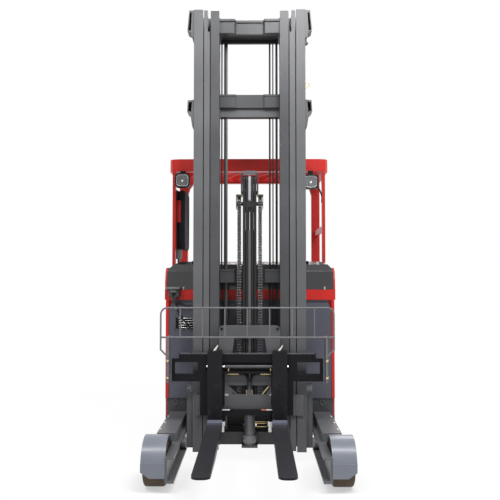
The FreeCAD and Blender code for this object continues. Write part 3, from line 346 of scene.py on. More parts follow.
mast_grey = surface("mast_grey_paint", MAST_GREY, 0.45, MAST_EDGE, grain=160)
dress(mast_grey, "outer_mast", "middle_mast", "lift_bracket", "reach_frame")
# A darker copy of the mast paint, for the inner stage.
darker_mast_grey = surface("darker_mast_paint", (0.055, 0.056, 0.060), 0.38, MAST_EDGE, grain=160, mottle=0.15)
dress(darker_mast_grey, "inner_mast")
zinc = surface("yellow_zinc", (0.52, 0.43, 0.24), 0.34, metal=1.0, grain=320, mottle=0.15)
bright_zinc = surface("bright_zinc", (0.66, 0.66, 0.63), 0.3, metal=0.9, grain=320)
LUG_REACH = 0.049
RAIL_DEPTH = 0.150
EYE_HEIGHT = 2.665
STOP_HEIGHT = 2.965
OUTER_TIES = (1.25, 2.45)
HEAD_BOTTOM = 3.03
rail_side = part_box("outer_mast")[1][0] - LUG_REACH
rail_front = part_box("inner_mast")[0][1]
eye_y = rail_front + 0.060
eye = joined([ring((rail_side + 0.016, eye_y, EYE_HEIGHT), (0, 1, 0), 0.016, 0.0035),
              bar((rail_side - 0.001, eye_y, EYE_HEIGHT - 0.023),
                  (rail_side + 0.014, eye_y, EYE_HEIGHT - 0.017), 0.006)])
settle(eye, "rail_eye", zinc, "reach_carriage", 0)
stop_foot = Vector((rail_side, rail_front + 0.055, STOP_HEIGHT))
out = Vector((1, 0, 0))
stop = joined([bar(stop_foot - out * 0.001, stop_foot + out * 0.017, 0.017),
               bar(stop_foot, stop_foot + out * 0.024, 0.009, sides=6)])
settle(stop, "rail_stop", mast_grey, "reach_carriage", 0.001)
places = [(side * 0.363, rail_front + RAIL_DEPTH + 0.043, tie + row)
          for tie in OUTER_TIES for side in (-1, 1) for row in (0.022, 0.068)]
bolts("outer_tie_bolts", places, (0, 1, 0), 0.011, bright_zinc, "reach_carriage")
places = [(side * 0.30, rail_front + 0.1455, HEAD_BOTTOM + row)
          for side in (-1, 1) for row in (0.055, 0.078)]
bolts("middle_tie_bolts", places, (0, 1, 0), 0.009, bright_zinc, "middle_stage")

# Lift column: grey free lift cylinder with four hydraulic hoses before it, two on each side
# of a plated guide bar. A clamp holds them at the crosshead, and they loop back above it.
COLUMN_Y = -0.024
ROD_EDGE, ROD_TOP = 0.0275, 1.745
GUIDE_HALF, GUIDE_BACK, GUIDE_FOOT, GUIDE_TOP = 0.0095, -0.0175, 1.82, 2.003
HOUSING_INSIDE, HOUSING_FOOT = 0.0475, 1.70
hose_rubber = surface("hose_rubber", (0.012, 0.012, 0.013), 0.55, grain=300, shine=0.3)
chrome = surface("chrome_rod", (0.75, 0.75, 0.77), 0.08, metal=1.0, depth=0.0001, mottle=0.02)
black_enamel = surface("black_enamel", (0.0070, 0.0070, 0.0085), 0.42, (0.05, 0.05, 0.056), 0.5,
                       shine=0.14)
# Paler than the mast grey it is painted with: painted light on the free lift cylinder, against the
# shadow the hoses cast on it.
barrel_painted_light_grey = surface("barrel_painted_light_grey", (0.15, 0.15, 0.155), 0.28, coat=0.2, shine=0.6)
dress(barrel_painted_light_grey, "free_lift_cylinder")
dress(hose_rubber, "mast_hoses", "mast_lines")


def over_paint(material):
    """A finish's shader inputs, coordinates and paint, for what is to lie over the paint."""
    tree = material.node_tree
    shader = next(node for node in tree.nodes if node.type == "BSDF_PRINCIPLED")
    place = make_node(tree, "SeparateXYZ", {}, {0: make_node(tree, "TexCoord").out("Object")})
    painted = Wire(tree, shader.inputs["Base Color"].links[0].from_socket)
    return shader.inputs, place, painted


def column_finish():
    """Grey head, black sheave housings, hard chrome on the rod and plating on the hose guide bar."""
    material = surface("column_paint", MAST_GREY, 0.42, MAST_EDGE, grain=160)
    inputs, place, painted = over_paint(material)
    x, y, z = place.out("X"), place.out("Y") - COLUMN_Y, place.out("Z")
    rod = (x * x + y * y).math("LESS_THAN", ROD_EDGE ** 2) * z.math("LESS_THAN", ROD_TOP)
    guide = (x.math("ABSOLUTE").math("LESS_THAN", GUIDE_HALF) * y.math("LESS_THAN", GUIDE_BACK)
             * z.math("GREATER_THAN", GUIDE_FOOT) * z.math("LESS_THAN", GUIDE_TOP))
    housing = (x.math("ABSOLUTE").math("GREATER_THAN", HOUSING_INSIDE)
               * z.math("GREATER_THAN", HOUSING_FOOT))
    bright = (rod + guide).clamp()
    painted = blend_colours(housing, painted, (0.020, 0.020, 0.022))
    plated = blend_colours(bright, painted, (0.52, 0.53, 0.56))
    rough = Wire(painted.tree, inputs["Roughness"].links[0].from_socket)
    plated.into(inputs["Base Color"])
    (rod * 0.95 + guide * 0.3).into(inputs["Metallic"])
    (rough - rod * 0.28).clamp(0.08).into(inputs["Roughness"])
    return material


def block(low, high):
    """Bar or plate between two corners."""
    middle = [(a + b) / 2 for a, b in zip(low, high)]
    size = [b - a for a, b in zip(low, high)]
    bpy.ops.mesh.primitive_cube_add(size=1, location=middle, scale=size)
    return put_down(bpy.context.object)


def tube(points, radius, sides=12):
    """Round tube on a smooth line through the given control points."""
    curve = bpy.data.curves.new("tube", "CURVE")
    curve.dimensions = "3D"
    curve.bevel_depth = radius
    curve.bevel_resolution = sides // 4
    curve.use_fill_caps = True
    curve.resolution_u = 8
    spline = curve.splines.new("NURBS")
    spline.points.add(len(points) - 1)
    for point, place in zip(spline.points, points):
        point.co = (*place, 1.0)
    spline.order_u = 3
    spline.use_endpoint_u = True
    piece = bpy.data.objects.new("tube", curve)
    bpy.context.collection.objects.link(piece)
    pick(piece)
    bpy.ops.object.convert(target="MESH")
    return bpy.context.object


def across(*distances):
    """Places at these distances across the truck."""
    return [(x, 0, 0) for x in distances]


dress(column_finish(), "free_lift_rod")
dress(chrome, "lift_rod_left", "lift_rod_right", "reach_rod")
HOSE_PLACES = (-0.039, -0.0192, 0.0192, 0.039)
HOSE_RADIUS = 0.0095
LOOP_RADIUS = 0.0265
SHEAVE_HEIGHT = 1.806
CHAIN_PLACES = {"right": 0.074, "left": -0.074}
run_low, run_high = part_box("mast_hoses")
hose_y = run_low[1] + HOSE_RADIUS
loop_z = run_high[2] - LOOP_RADIUS - HOSE_RADIUS
path = [(0, hose_y, run_low[2]), (0, hose_y, 1.2), (0, hose_y, loop_z - 0.03), (0, hose_y, loop_z)]
for n in range(1, 6):
    turn = math.radians(30 * n)
    path.append((0, hose_y + LOOP_RADIUS * (1 - math.cos(turn)),
                 loop_z + LOOP_RADIUS * 1.04 * math.sin(turn)))
path += [(0, hose_y + LOOP_RADIUS * 2, loop_z), (0, hose_y + LOOP_RADIUS * 2, 1.906)]
runs = copies(tube(path, HOSE_RADIUS), across(*HOSE_PLACES))
clamp = block((-0.046, hose_y - 0.006, SHEAVE_HEIGHT - 0.030),
              (0.046, run_high[1], SHEAVE_HEIGHT + 0.010))
hoses = settle(joined([runs, clamp]), "mast_hose_run", hose_rubber, "crosshead", 0, smooth=50)
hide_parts("mast_hoses")
dull_zinc = surface("dull_zinc", (0.20, 0.17, 0.125), 0.45, metal=0.5, grain=260, mottle=0.2)
guard_top = block((-0.0225, -0.0845, 1.8605), (0.0225, 0.026, 1.8685))
settle(copies(guard_top, across(*CHAIN_PLACES.values())),
       "sheave_guard_tops", dull_zinc, "crosshead", 0.0015)
line_low, line_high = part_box("mast_lines")
line_cover = block((-0.177, line_low[1] - 0.0012, line_low[2] + 0.02),
                   (-0.1625, line_low[1] + 0.004, line_high[2] - 0.06))
settle(line_cover, "line_cover", mast_grey, "middle_stage", 0.0008)

# Leaf chains: laced steel plates on riveted pins, from the lift bracket up over the
# sheaves and down behind; plates dark with oil, the pins' heads rubbed bright.
CHAIN_PITCH = 0.01905
CHAIN_FOOT = 0.45
CHAIN_END = 1.20
PLATE_RADIUS = 0.0079
oily_steel = surface("oily_steel", (0.075, 0.075, 0.078), 0.40, metal=0.7, grain=400)
rubbed_steel = surface("rubbed_steel", (0.40, 0.39, 0.385), 0.32, metal=1.0, grain=400)
SHEAVE_RADIUS = 0.046
front_run = SHEAVE_HEIGHT - CHAIN_FOOT
over_run = math.pi * SHEAVE_RADIUS
chain_length = front_run + over_run + SHEAVE_HEIGHT - CHAIN_END


def chain_point(along):
    """Place of the chain's centre line, as far along it as given from its front foot."""
    if along < front_run:
        return Vector((0, COLUMN_Y - SHEAVE_RADIUS, CHAIN_FOOT + along))
    if along < front_run + over_run:
        turn = (along - front_run) / SHEAVE_RADIUS
        return Vector((0, COLUMN_Y - SHEAVE_RADIUS * math.cos(turn),
                       SHEAVE_HEIGHT + SHEAVE_RADIUS * math.sin(turn)))
    return Vector((0, COLUMN_Y + SHEAVE_RADIUS, SHEAVE_HEIGHT - (along - front_run - over_run)))


def choose(piece, kind, test):
    """Opens a piece for editing with the vertices, edges or faces chosen that pass the test."""
    bpy.ops.object.mode_set(mode="EDIT")
    bpy.ops.mesh.select_mode(type=kind)
    bpy.ops.mesh.select_all(action="DESELECT")
    bpy.ops.object.mode_set(mode="OBJECT")
    mesh = piece.data
    for item in {"VERT": mesh.vertices, "EDGE": mesh.edges, "FACE": mesh.polygons}[kind]:
        item.select = test(item)
    bpy.ops.object.mode_set(mode="EDIT")


def chain_plate():
    """Link plate with round ends, standing on its lower pin."""
    plate = bar((-0.00125, 0, 0), (0.00125, 0, 0), PLATE_RADIUS, sides=12)
    choose(plate, "VERT", lambda vertex: vertex.co.z > 0.0001)
    bpy.ops.transform.translate(value=(0, 0, CHAIN_PITCH))
    bpy.ops.object.mode_set(mode="OBJECT")
    return plate


plate = chain_plate()
outer_link = joined([copy_of(plate, place) for place in across(-0.0105, -0.0035, 0.0035, 0.0105)])
inner_link = joined([copy_of(plate, place) for place in across(-0.0070, 0.0, 0.0070)])
pin = bar((-0.0138, 0, 0), (0.0138, 0, 0), 0.0038, sides=8)
links = []
pins = []
for n in range(int(chain_length / CHAIN_PITCH)):
    here = chain_point(n * CHAIN_PITCH)
    there = chain_point((n + 1) * CHAIN_PITCH)
    lean = math.atan2(-(there.y - here.y), there.z - here.z)
    kind = outer_link if n % 2 else inner_link
    links.append(copy_of(kind, here, Matrix.Rotation(lean, 4, "X")))
    pins.append(copy_of(pin, here))
one_chain = joined(links)
one_pins = joined(pins)
for side, x in CHAIN_PLACES.items():
    chain = settle(copy_of(one_chain, (x, 0, 0)), "leaf_chain_" + side, oily_steel, "crosshead", 0)
    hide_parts("lift_chain_" + side)
    settle(copy_of(one_pins, (x, 0, 0)), "chain_pins_" + side, rubbed_steel, "crosshead", 0)
for model in (plate, outer_link, inner_link, pin, one_chain, one_pins):
    bpy.data.objects.remove(model)
anchor = [block((-0.0182, -0.0620, 0.402), (0.0182, -0.0604, 0.434))]
for side in (-1, 1):
    near, far = sorted((side * 0.0150, side * 0.0182))
    anchor.append(block((near, -0.079, 0.402), (far, -0.0606, 0.468)))
    for z in (0.415, 0.455):
        anchor.append(bar((side * 0.0160, -0.070, z), (side * 0.0222, -0.070, z), 0.006))
settle(copies(joined(anchor), across(*CHAIN_PLACES.values())),
       "chain_anchors", bright_zinc, "fork_lift_bracket", 0.0008)

# Lift bracket: welded plate between the inner rails, with bare wear pads on its
# cross plate, slanting braces behind the lower windows and brass hose ends.
brass = surface("brass_fitting", (0.50, 0.40, 0.20), 0.3, metal=1.0, grain=300)
pale_pad = surface("pale_pad", (0.44, 0.44, 0.42), 0.5, mottle=0.2)
white_nylon = surface("white_nylon", (0.80, 0.80, 0.76), 0.45, mottle=0.06)
BRACKET_FRONT = -0.0984
brace_y = BRACKET_FRONT + 0.016
settle(bar((-0.153, brace_y, 0.528), (-0.095, brace_y, 0.468), 0.0075),
       "left_brace", mast_grey, "fork_lift_bracket", 0.001)
settle(bar((0.138, brace_y, 0.528), (0.088, brace_y, 0.468), 0.0078),
       "right_brace", zinc, "fork_lift_bracket", 0.001)
parts = [block((low, BRACKET_FRONT - 0.0015, 0.4600), (high, BRACKET_FRONT + 0.0085, 0.4755))
         for low, high in ((-0.192, -0.147), (0.139, 0.157))]
settle(joined(parts), "cross_plate_pads", pale_pad, "fork_lift_bracket", 0.001)
hose_end_y = BRACKET_FRONT + 0.004
hose_end = joined([bar((0, hose_end_y, 0.486), (0, hose_end_y, 0.503), 0.0065, sides=6),
                   bar((0, hose_end_y, 0.4695), (0, hose_end_y, 0.488), 0.0045, sides=12)])
settle(copies(hose_end, across(-0.022, 0.019)),
       "lower_hose_ends", brass, "fork_lift_bracket", 0.0006)
places = [(side * x, BRACKET_FRONT - 0.0001, z) for side in (-1, 1)
          for x, z in ((0.195, 0.925), (0.205, 0.640))]
bolts("bracket_bolts", places, (0, -1, 0), 0.010, black_enamel, "fork_lift_bracket")

# Hydraulics of the carriage: thin hoses from elbows on the side shift cylinder,
# curving together to the middle of the bracket.
SHIFT_CYLINDER_Y = -0.1297
ELBOW_HEIGHT = 0.6175


def hose(name, points, radius, body, material, sides=12):
    return settle(tube(points, radius, sides), name, material, body, 0, smooth=60)


y, z = SHIFT_CYLINDER_Y, ELBOW_HEIGHT
for side, name in ((-1, "left"), (1, "right")):
    x = side * 0.146
    parts = [bar((x, y, z + 0.0395), (x, y, z - 0.0015), 0.0062, sides=6),
             bar((x + side * 0.006, y, z), (side * 0.112, y, z), 0.0064),
             bar((side * 0.112, y, z), (side * 0.098, y, z), 0.0082, sides=6),
             bar((side * 0.098, y, z), (side * 0.074, y, z), 0.0068)]
    settle(joined(parts), "cylinder_elbow_" + name, brass, "tilting_plate", 0.0007)
for side, name in ((-1, "left"), (1, "right")):
    hose("tilt_hose_" + name,
         [(side * 0.076, y, z), (side * 0.050, y, z - 0.0003), (side * 0.022, y + 0.004, 0.604),
          (side * 0.012, y + 0.014, 0.560), (side * 0.010, y + 0.019, 0.530),
          (side * 0.0205, BRACKET_FRONT + 0.002, 0.502)], 0.0052, "tilting_plate", hose_rubber)
for z, radius in ((0.273, 0.0035), (0.262, 0.0030), (0.240, 0.0035)):
    hose("cylinder_pipe_%d" % round(z * 1000),
         [(0.036, -0.052, z), (0.060, -0.056, z), (0.105, -0.056, z), (0.124, -0.050, z),
          (0.130, -0.030, z)], radius, "inner_stage", brass, 8)

# Fork carriage: black enamelled frame of bars and end plates that the forks hook on,
# with the side shift rods across it and wear strips along its lower bar.
orange_reflector = surface("orange_reflector", (0.62, 0.16, 0.05), 0.35, mottle=0.05, coat=0.3)
cylinder_enamel = surface("cylinder_enamel", (0.036, 0.036, 0.04), 0.3, coat=0.3, shine=0.6)
dress(black_enamel, "shift_frame", "tilt_plate", "reach_cylinder",
      "lift_cylinder_left", "lift_cylinder_right", "drive_yoke", "lamp_left", "lamp_right")
dress(cylinder_enamel, "side_shift_cylinder")
bar_low, bar_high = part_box("shift_frame")
bar_front = bar_low[1]
strip_z = bar_low[2] + 0.040
for name, low, high, material in (("left_strip", -0.192, -0.135, white_nylon),
                                  ("orange_strip", 0.0815, 0.1155, orange_reflector),
                                  ("right_strip", 0.1155, 0.157, white_nylon)):
    strip = block((low, bar_front - 0.0003, strip_z - 0.006),
                  (high, bar_front + 0.006, strip_z + 0.0012))
    settle(strip, name, material, "shifting_frame", 0.0005)
ROD_HEIGHT = 0.668
SCREW_HEIGHT = 0.672
parts = [bar((low, SHIFT_CYLINDER_Y, ROD_HEIGHT), (high, SHIFT_CYLINDER_Y, ROD_HEIGHT), 0.0078)
         for low, high in ((-0.306, -0.268), (-0.205, -0.165), (0.135, 0.168), (0.246, 0.285))]
settle(joined(parts), "shift_rod_ends", chrome, "shifting_frame", 0.0006)
head = Vector((0.004, bar_front + 0.012, SCREW_HEIGHT))
depth = Vector((0, 0.008, 0))
screw = joined([bar(head - Vector((0.016, 0, 0)), head + Vector((0.012, 0, 0)), 0.006, sides=6),
                bar(head - depth, head + depth, 0.008)])
settle(copies(screw, across(-0.322, 0.292)), "rod_lock_screws", bright_zinc, "shifting_frame", 0.0006)
GUIDE_PLACES = (-0.186, 0.141)
strap = block((-0.009, bar_front + 0.021, 0.285), (0.009, bar_front + 0.027, 0.345))
settle(copies(strap, across(*GUIDE_PLACES)), "guide_straps", black_enamel, "shifting_frame", 0.0008)
pad = joined([block((-0.011, bar_front + 0.020, 0.218), (0.011, bar_front + 0.034, 0.290)),
              block((-0.016, bar_front + 0.019, 0.258), (0.016, bar_front + 0.033, 0.290))])
settle(copies(pad, across(*GUIDE_PLACES)), "guide_pads", white_nylon, "shifting_frame", 0.003)
bar_top = bar_high[2]
# Top edge strip: scuffed patches and worn edges are wear, but its pale base is a painted highlight for
# the light along the bar's top edge.
worn_and_highlight_enamel = surface("worn_and_highlight_enamel", (0.075, 0.075, 0.085), 0.3, (0.16, 0.16, 0.17), 0.6, coat=0.2,
                      scuff=((0.03, 0.03, 0.034), 0.5, 0.7))
top_edge = block((-0.480, bar_front - 0.0012, bar_top - 0.0085),
                 (0.450, bar_front + 0.0205, bar_top + 0.0012))
settle(top_edge, "carriage_top_edge", worn_and_highlight_enamel, "shifting_frame", 0.003)
places = [(-0.015 + side * x, bar_front - 0.0001, z) for side in (-1, 1)
          for x, z in ((0.455, 0.742), (0.375, 0.588))]
bolts("frame_bolts", places, (0, -1, 0), 0.008, black_enamel, "shifting_frame")

# Forks: forged blades in black enamel, lighter along the top, with a painted highlight
# on the heel's bend and a plated locking lever in the hook.
LEVER_FOOT = 0.7835
BLADE_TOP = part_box("fork_left")[0][2] + 0.085


def fork_finish():
    """Black enamel with rubbed patches, lighter on the blades' tops, a painted highlight on the heels'
    bend and a plated lever above the shank.
    """
    material = surface("blade_enamel", (0.0065, 0.0065, 0.008), 0.36, (0.16, 0.16, 0.18), 0.6,
                       scuff=((0.024, 0.024, 0.028), 0.56, 0.74), coat=0.05, shine=0.18)
    inputs, place, painted = over_paint(material)
    height = place.out("Z")
    lever = height.math("GREATER_THAN", LEVER_FOOT)
    facing = make_node(painted.tree, "NewGeometry").out("Normal")
    upward = make_node(painted.tree, "SeparateXYZ", {}, {0: facing}).out("Z")
    # A lighter tone on the blades' upward faces.
    toned = upward.step(0.4, 0.9) * height.math("LESS_THAN", BLADE_TOP) * 0.8
    painted = blend_colours(toned, painted, (0.030, 0.030, 0.034))
    # Painted highlight: a pale blue band on the slanting faces of the heel's bend, standing for the
    # light from above catching it.
    painted_heel_highlight = upward.step(0.10, 0.40) * (1 - upward.step(0.80, 0.97)) * height.math("LESS_THAN", BLADE_TOP)
    painted = blend_colours(painted_heel_highlight, painted, (0.13, 0.14, 0.19))
    plated = blend_colours(lever, painted, (0.62, 0.62, 0.58))
    plated.into(inputs["Base Color"])
    (lever * 0.85).into(inputs["Metallic"])
    return material


dress(fork_finish(), "fork_left", "fork_right")

# Load backrest: welded round rod in grey, on two flat legs that are screwed to the
# carriage from the front and nutted at its ends.
rest_grey = surface("rest_grey_paint", (0.13, 0.13, 0.137), 0.42, (0.24, 0.24, 0.25), 0.4)
dress(rest_grey, "backrest")
REST_BOLT_HEIGHTS = (0.600, 0.715)
places = [(x, -0.206, z) for x in (-0.555, 0.525) for z in REST_BOLT_HEIGHTS]
bolts("rest_bolts", places, (0, -1, 0), 0.0085, zinc, "shifting_frame")
nuts = []
for side, x in ((-1, -0.5645), (1, 0.5345)):
    nut = bar((x - side * 0.002, -0.166, 0), (x + side * 0.006, -0.166, 0), 0.008, sides=6)
    nuts.append(copies(nut, [(0, 0, z) for z in REST_BOLT_HEIGHTS]))
settle(joined(nuts), "rest_side_nuts", zinc, "shifting_frame", 0.0006)

# Straddle legs and wheel guards: welded channels and bent plate, dusty near the
# ground; the guards are a paler glossy blue grey.
DUST = (0.30, 0.28, 0.25)
guard_grey = surface("guard_grey_paint", (0.162, 0.176, 0.210), 0.33, (0.32, 0.33, 0.37), 0.4,
                     coat=0.15, mottle=0.06, dust=(DUST, 0.32, 0.12))
leg_grey = surface("leg_grey_paint", (0.096, 0.098, 0.106), 0.40, (0.17, 0.172, 0.18), 0.45,
                   coat=0.1, mottle=0.1, dust=(DUST, 0.30, 0.25))
dress(guard_grey, "wheel_guard_left", "wheel_guard_right")
dress(leg_grey, "leg_left", "leg_right")
AXLE_Y = -0.53
AXLE_Z = 0.1425
LEG_BOLT_OUT = 0.585
leg_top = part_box("leg_right")[1][2]
places = [(side * LEG_BOLT_OUT, y, leg_top) for side in (1, -1) for y in (-0.28, -0.10, 0.08)]
head = bar((0, 0, -0.001), (0, 0, 0.007), 0.009, sides=6)
settle(copies(head, places), "leg_top_bolts", bright_zinc, "chassis", 0.0006)

# Load wheels: cast iron hubs with a thick tread of brown polyurethane, on a fixed
# axle with a plate at its end.
polyurethane = surface("cast_polyurethane", (0.074, 0.050, 0.031), 0.5, (0.15, 0.10, 0.06), 0.3,
                       mottle=0.2, scuff=((0.055, 0.043, 0.032), 0.55, 0.75), round_edge=0.004,
                       dust=(DUST, 0.06, 0.05), shine=0.2)
cast_iron = surface("cast_iron_hub", (0.05, 0.048, 0.047), 0.55, (0.14, 0.13, 0.12), 0.4, depth=0.0012,
                    grain=120)
turned_steel = surface("turned_steel", (0.42, 0.42, 0.43), 0.32, metal=1.0)
dress(polyurethane, "load_wheel_left", "load_wheel_right")
dress(turned_steel, *[name for name in nodes if "roller" in name])
dress(oily_steel, *[name for name in nodes if "sheave" in name])
STUDS = 8
STUD_CIRCLE = 0.061


def wheel_face(x, side):
    """Hub disc with a raised boss and a ring of eight studs, on one face of a wheel."""
    centre = Vector((x, AXLE_Y, AXLE_Z))
    out = Vector((side, 0, 0))
    parts = [bar(centre - out * 0.001, centre + out * 0.0035, 0.082, 0.080, sides=40),
             bar(centre, centre + out * 0.012, 0.042, 0.038, sides=28)]
    for n in range(STUDS):
        angle = math.radians(360 / STUDS * n)
        place = centre + Vector((0, math.cos(angle), math.sin(angle))) * STUD_CIRCLE
        parts.append(bar(place, place + out * 0.0075, 0.0075, sides=10))
    return parts


for side, name in ((1, "right"), (-1, "left")):
    low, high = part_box("load_wheel_" + name)
    inner = low[0] if side > 0 else high[0]
    outer = high[0] if side > 0 else low[0]
    hub = joined(wheel_face(outer - side * 0.0135, side))
    settle(hub, "wheel_hub_" + name, cast_iron, "load_wheel_" + name, 0.0012)
    disc = bar((inner + side * 0.0005, AXLE_Y, AXLE_Z), (inner - side * 0.0025, AXLE_Y, AXLE_Z),
               0.088, 0.086, sides=40)
    settle(disc, "wheel_inside_" + name, cast_iron, "load_wheel_" + name, 0.0008)
    end = Vector((side * 0.6415, AXLE_Y, AXLE_Z))
    half = Vector((0.002, 0.018, 0.014))
    cap = block(end - half, end + half)
    settle(cap, "axle_plate_" + name, leg_grey, "chassis", 0.002)

# Body front: grey sheet panel with a louvre behind the battery, the battery
# connector by the left shoulder and its pair of cables clipped across the panel.
panel_grey = surface("panel_grey_paint", (0.078, 0.081, 0.106), 0.36, (0.12, 0.125, 0.15), 0.4,
                     coat=0.15, mottle=0.08)
dress(panel_grey, "front_panel", "battery")
panel_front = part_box("front_panel")[0][1]
LOUVRE = (-0.566, 0.886, -0.395, 0.984)
# Near black: painted shade for openings, standing for the shade inside them, and the dark joint of the
# rear seam.
painted_shade_and_seam_black = surface("painted_shade_and_seam_black", (0.006, 0.006, 0.007), 0.7, shine=0.2)
left, bottom, right, top = LOUVRE
# Painted shade: a dark sheet in the panel where the louvre's opening is.
hollow = block((left + 0.006, panel_front - 0.0022, bottom + 0.006),
               (right - 0.006, panel_front + 0.002, top - 0.006))
settle(hollow, "louvre_hollow", painted_shade_and_seam_black, "chassis", 0.0005)
FRAME_WIDTH = 0.007
frame_front, frame_back = panel_front - 0.005, panel_front + 0.002
parts = [block((left, frame_front, bottom), (left + FRAME_WIDTH, frame_back, top)),
         block((right - FRAME_WIDTH, frame_front, bottom), (right, frame_back, top)),
         block((left, frame_front, bottom), (right, frame_back, bottom + FRAME_WIDTH)),
         block((left, frame_front, top - FRAME_WIDTH), (right, frame_back, top))]
settle(joined(parts), "louvre_frame", panel_grey, "chassis", 0.0012)
SLATS = 5
SLAT_LEAN = -28
slat = block((left + 0.030, -0.006, -0.0014), (right - 0.006, 0.006, 0.0014))
places = [(0, panel_front, bottom + (top - bottom) * (n + 0.75) / (SLATS + 0.5)) for n in range(SLATS)]
slats = copies(slat, places, Matrix.Rotation(math.radians(SLAT_LEAN), 4, "X"))
settle(slats, "louvre_slats", bright_zinc, "chassis", 0.0005)
connector_grey = surface("connector_grey", (0.052, 0.052, 0.050), 0.5, (0.10, 0.10, 0.095), 0.4,
                         grain=420)
connector_cap = surface("connector_cap", (0.135, 0.135, 0.125), 0.48, (0.2, 0.2, 0.19), 0.4, grain=420)
plug_back = panel_front - 0.004
plug_front = 0.191
body_piece = block((-0.613, plug_front, 1.128), (-0.5215, plug_back, 1.190))
choose(body_piece, "VERT", lambda vertex: vertex.co.z < 1.15)
bpy.ops.transform.resize(value=(0.88, 1, 1), center_override=(-0.567, 0.21, 1.128))
bpy.ops.object.mode_set(mode="OBJECT")
plug = settle(body_piece, "connector_body", connector_grey, "chassis", 0.010, 4)
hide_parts("battery_connector")
parts = [block((-0.631, plug_front - 0.006, 1.188), (-0.5205, plug_back, 1.208)),
         block((-0.598, plug_front - 0.010, 1.166), (-0.545, plug_front + 0.006, 1.192))]
settle(joined(parts), "connector_top", connector_cap, "chassis", 0.005, 3)
# Painted shade in the connector's mouth.
settle(block((-0.583, plug_front - 0.003, 1.134), (-0.556, plug_front + 0.01, 1.168)),
       "connector_mouth", painted_shade_and_seam_black, "chassis", 0.003)
parts = [bar((-0.622, plug_front - 0.016, 1.197), (-0.530, plug_front - 0.016, 1.197), 0.006),
         block((-0.626, plug_front - 0.020, 1.191), (-0.616, plug_front, 1.203)),
         block((-0.536, plug_front - 0.020, 1.191), (-0.526, plug_front, 1.203))]
settle(joined(parts), "connector_handle", connector_cap, "chassis", 0.002)
cable_black = surface("cable_black", (0.014, 0.014, 0.016), 0.45, grain=350, shine=0.45)
hose("power_cable_long",
     [(-0.586, plug_front + 0.006, 1.150), (-0.570, plug_front - 0.004, 1.118),
      (-0.550, plug_front + 0.008, 1.075), (-0.545, 0.215, 1.040), (-0.520, 0.221, 0.984),
      (-0.490, 0.222, 0.938), (-0.434, 0.223, 0.889), (-0.385, 0.224, 0.862), (-0.360, 0.238, 0.850)],
     0.0085, "chassis", cable_black, 16)
hose("power_cable_short",
     [(-0.560, plug_front + 0.006, 1.150), (-0.560, plug_front - 0.006, 1.120),
      (-0.545, plug_front, 1.094), (-0.520, 0.205, 1.078), (-0.480, 0.216, 1.066),
      (-0.420, 0.222, 1.058), (-0.385, 0.224, 1.054), (-0.360, 0.238, 1.050)],
     0.0075, "chassis", cable_black, 16)
grommet = bar((-0.360, panel_front + 0.002, 0), (-0.360, panel_front - 0.006, 0), 0.018, 0.015)
settle(copies(grommet, [(0, 0, 0.850), (0, 0, 1.050)]), "cable_grommets", hose_rubber, "chassis", 0.001)
clip = joined([block((-0.004, 0.211, -0.013), (0.004, 0.2145, 0.013)),
               block((-0.004, 0.211, 0.009), (0.004, 0.236, 0.0125)),
               block((-0.004, 0.211, -0.0125), (0.004, 0.236, -0.009))])
parts = [copy_of(clip, (x, 0, z), Matrix.Rotation(math.radians(lean + 90), 4, "Y"))
         for x, z, lean in ((-0.546, 1.040, 20), (-0.492, 0.940, 45))]
bpy.data.objects.remove(clip)
settle(joined(parts), "cable_clips", bright_zinc, "chassis", 0.0006)

# Cowl, band and deck: a glossy black moulding over the battery's rear edge, held by two
# pale catches, painted sheet steel under it, and a welded tub with two lashing eyes.
red_paint = surface("gloss_red_paint", (0.58, 0.022, 0.017), 0.32, (0.60, 0.07, 0.055), 0.35,
                    coat=0.12, mottle=0.05, shine=0.22)
cowl_black = surface("cowl_black", (0.020, 0.020, 0.023), 0.22, (0.06, 0.06, 0.065), 0.3,
                     grain=420, depth=0.0003, coat=0.5, shine=0.4, round_edge=0.006)
black_moulding = surface("black_moulding", (0.012, 0.012, 0.014), 0.5, (0.04, 0.04, 0.045), 0.3,
                         grain=420, depth=0.0012, shine=0.2)
# A darker copy of the red paint for the overhead guard: painted shade. The guard is the same red as the
# band.
painted_shade_red = surface("painted_shade_red_paint", (0.46, 0.022, 0.018), 0.36, (0.50, 0.07, 0.055), 0.3,
                    coat=0.08, mottle=0.05, shine=0.2)
dress(red_paint, "front_band", "side_panel_left", "side_panel_right", "rear_cover")
dress(painted_shade_red, "overhead_guard")
dress(cowl_black, "cowl")
dress(black_moulding, "console", "seat_base", "steering_wheel", "floor_plate")
SKIRT_HALF = 0.6225
SKIRT_FOOT = 0.244


def deck_finish():
    """Dark grey paint on the tub, with red down its flanks to the skirt's foot."""
    material = surface("deck_paint", (0.052, 0.053, 0.060), 0.42, (0.13, 0.13, 0.14), 0.4,
                       dust=(DUST, 0.28, 0.25))
    inputs, place, painted = over_paint(material)
    skirt = (place.out("X").math("ABSOLUTE").math("GREATER_THAN", SKIRT_HALF)
             * place.out("Z").math("GREATER_THAN", SKIRT_FOOT))
    blend_colours(skirt, painted, (0.54, 0.024, 0.019)).into(inputs["Base Color"])
    return material


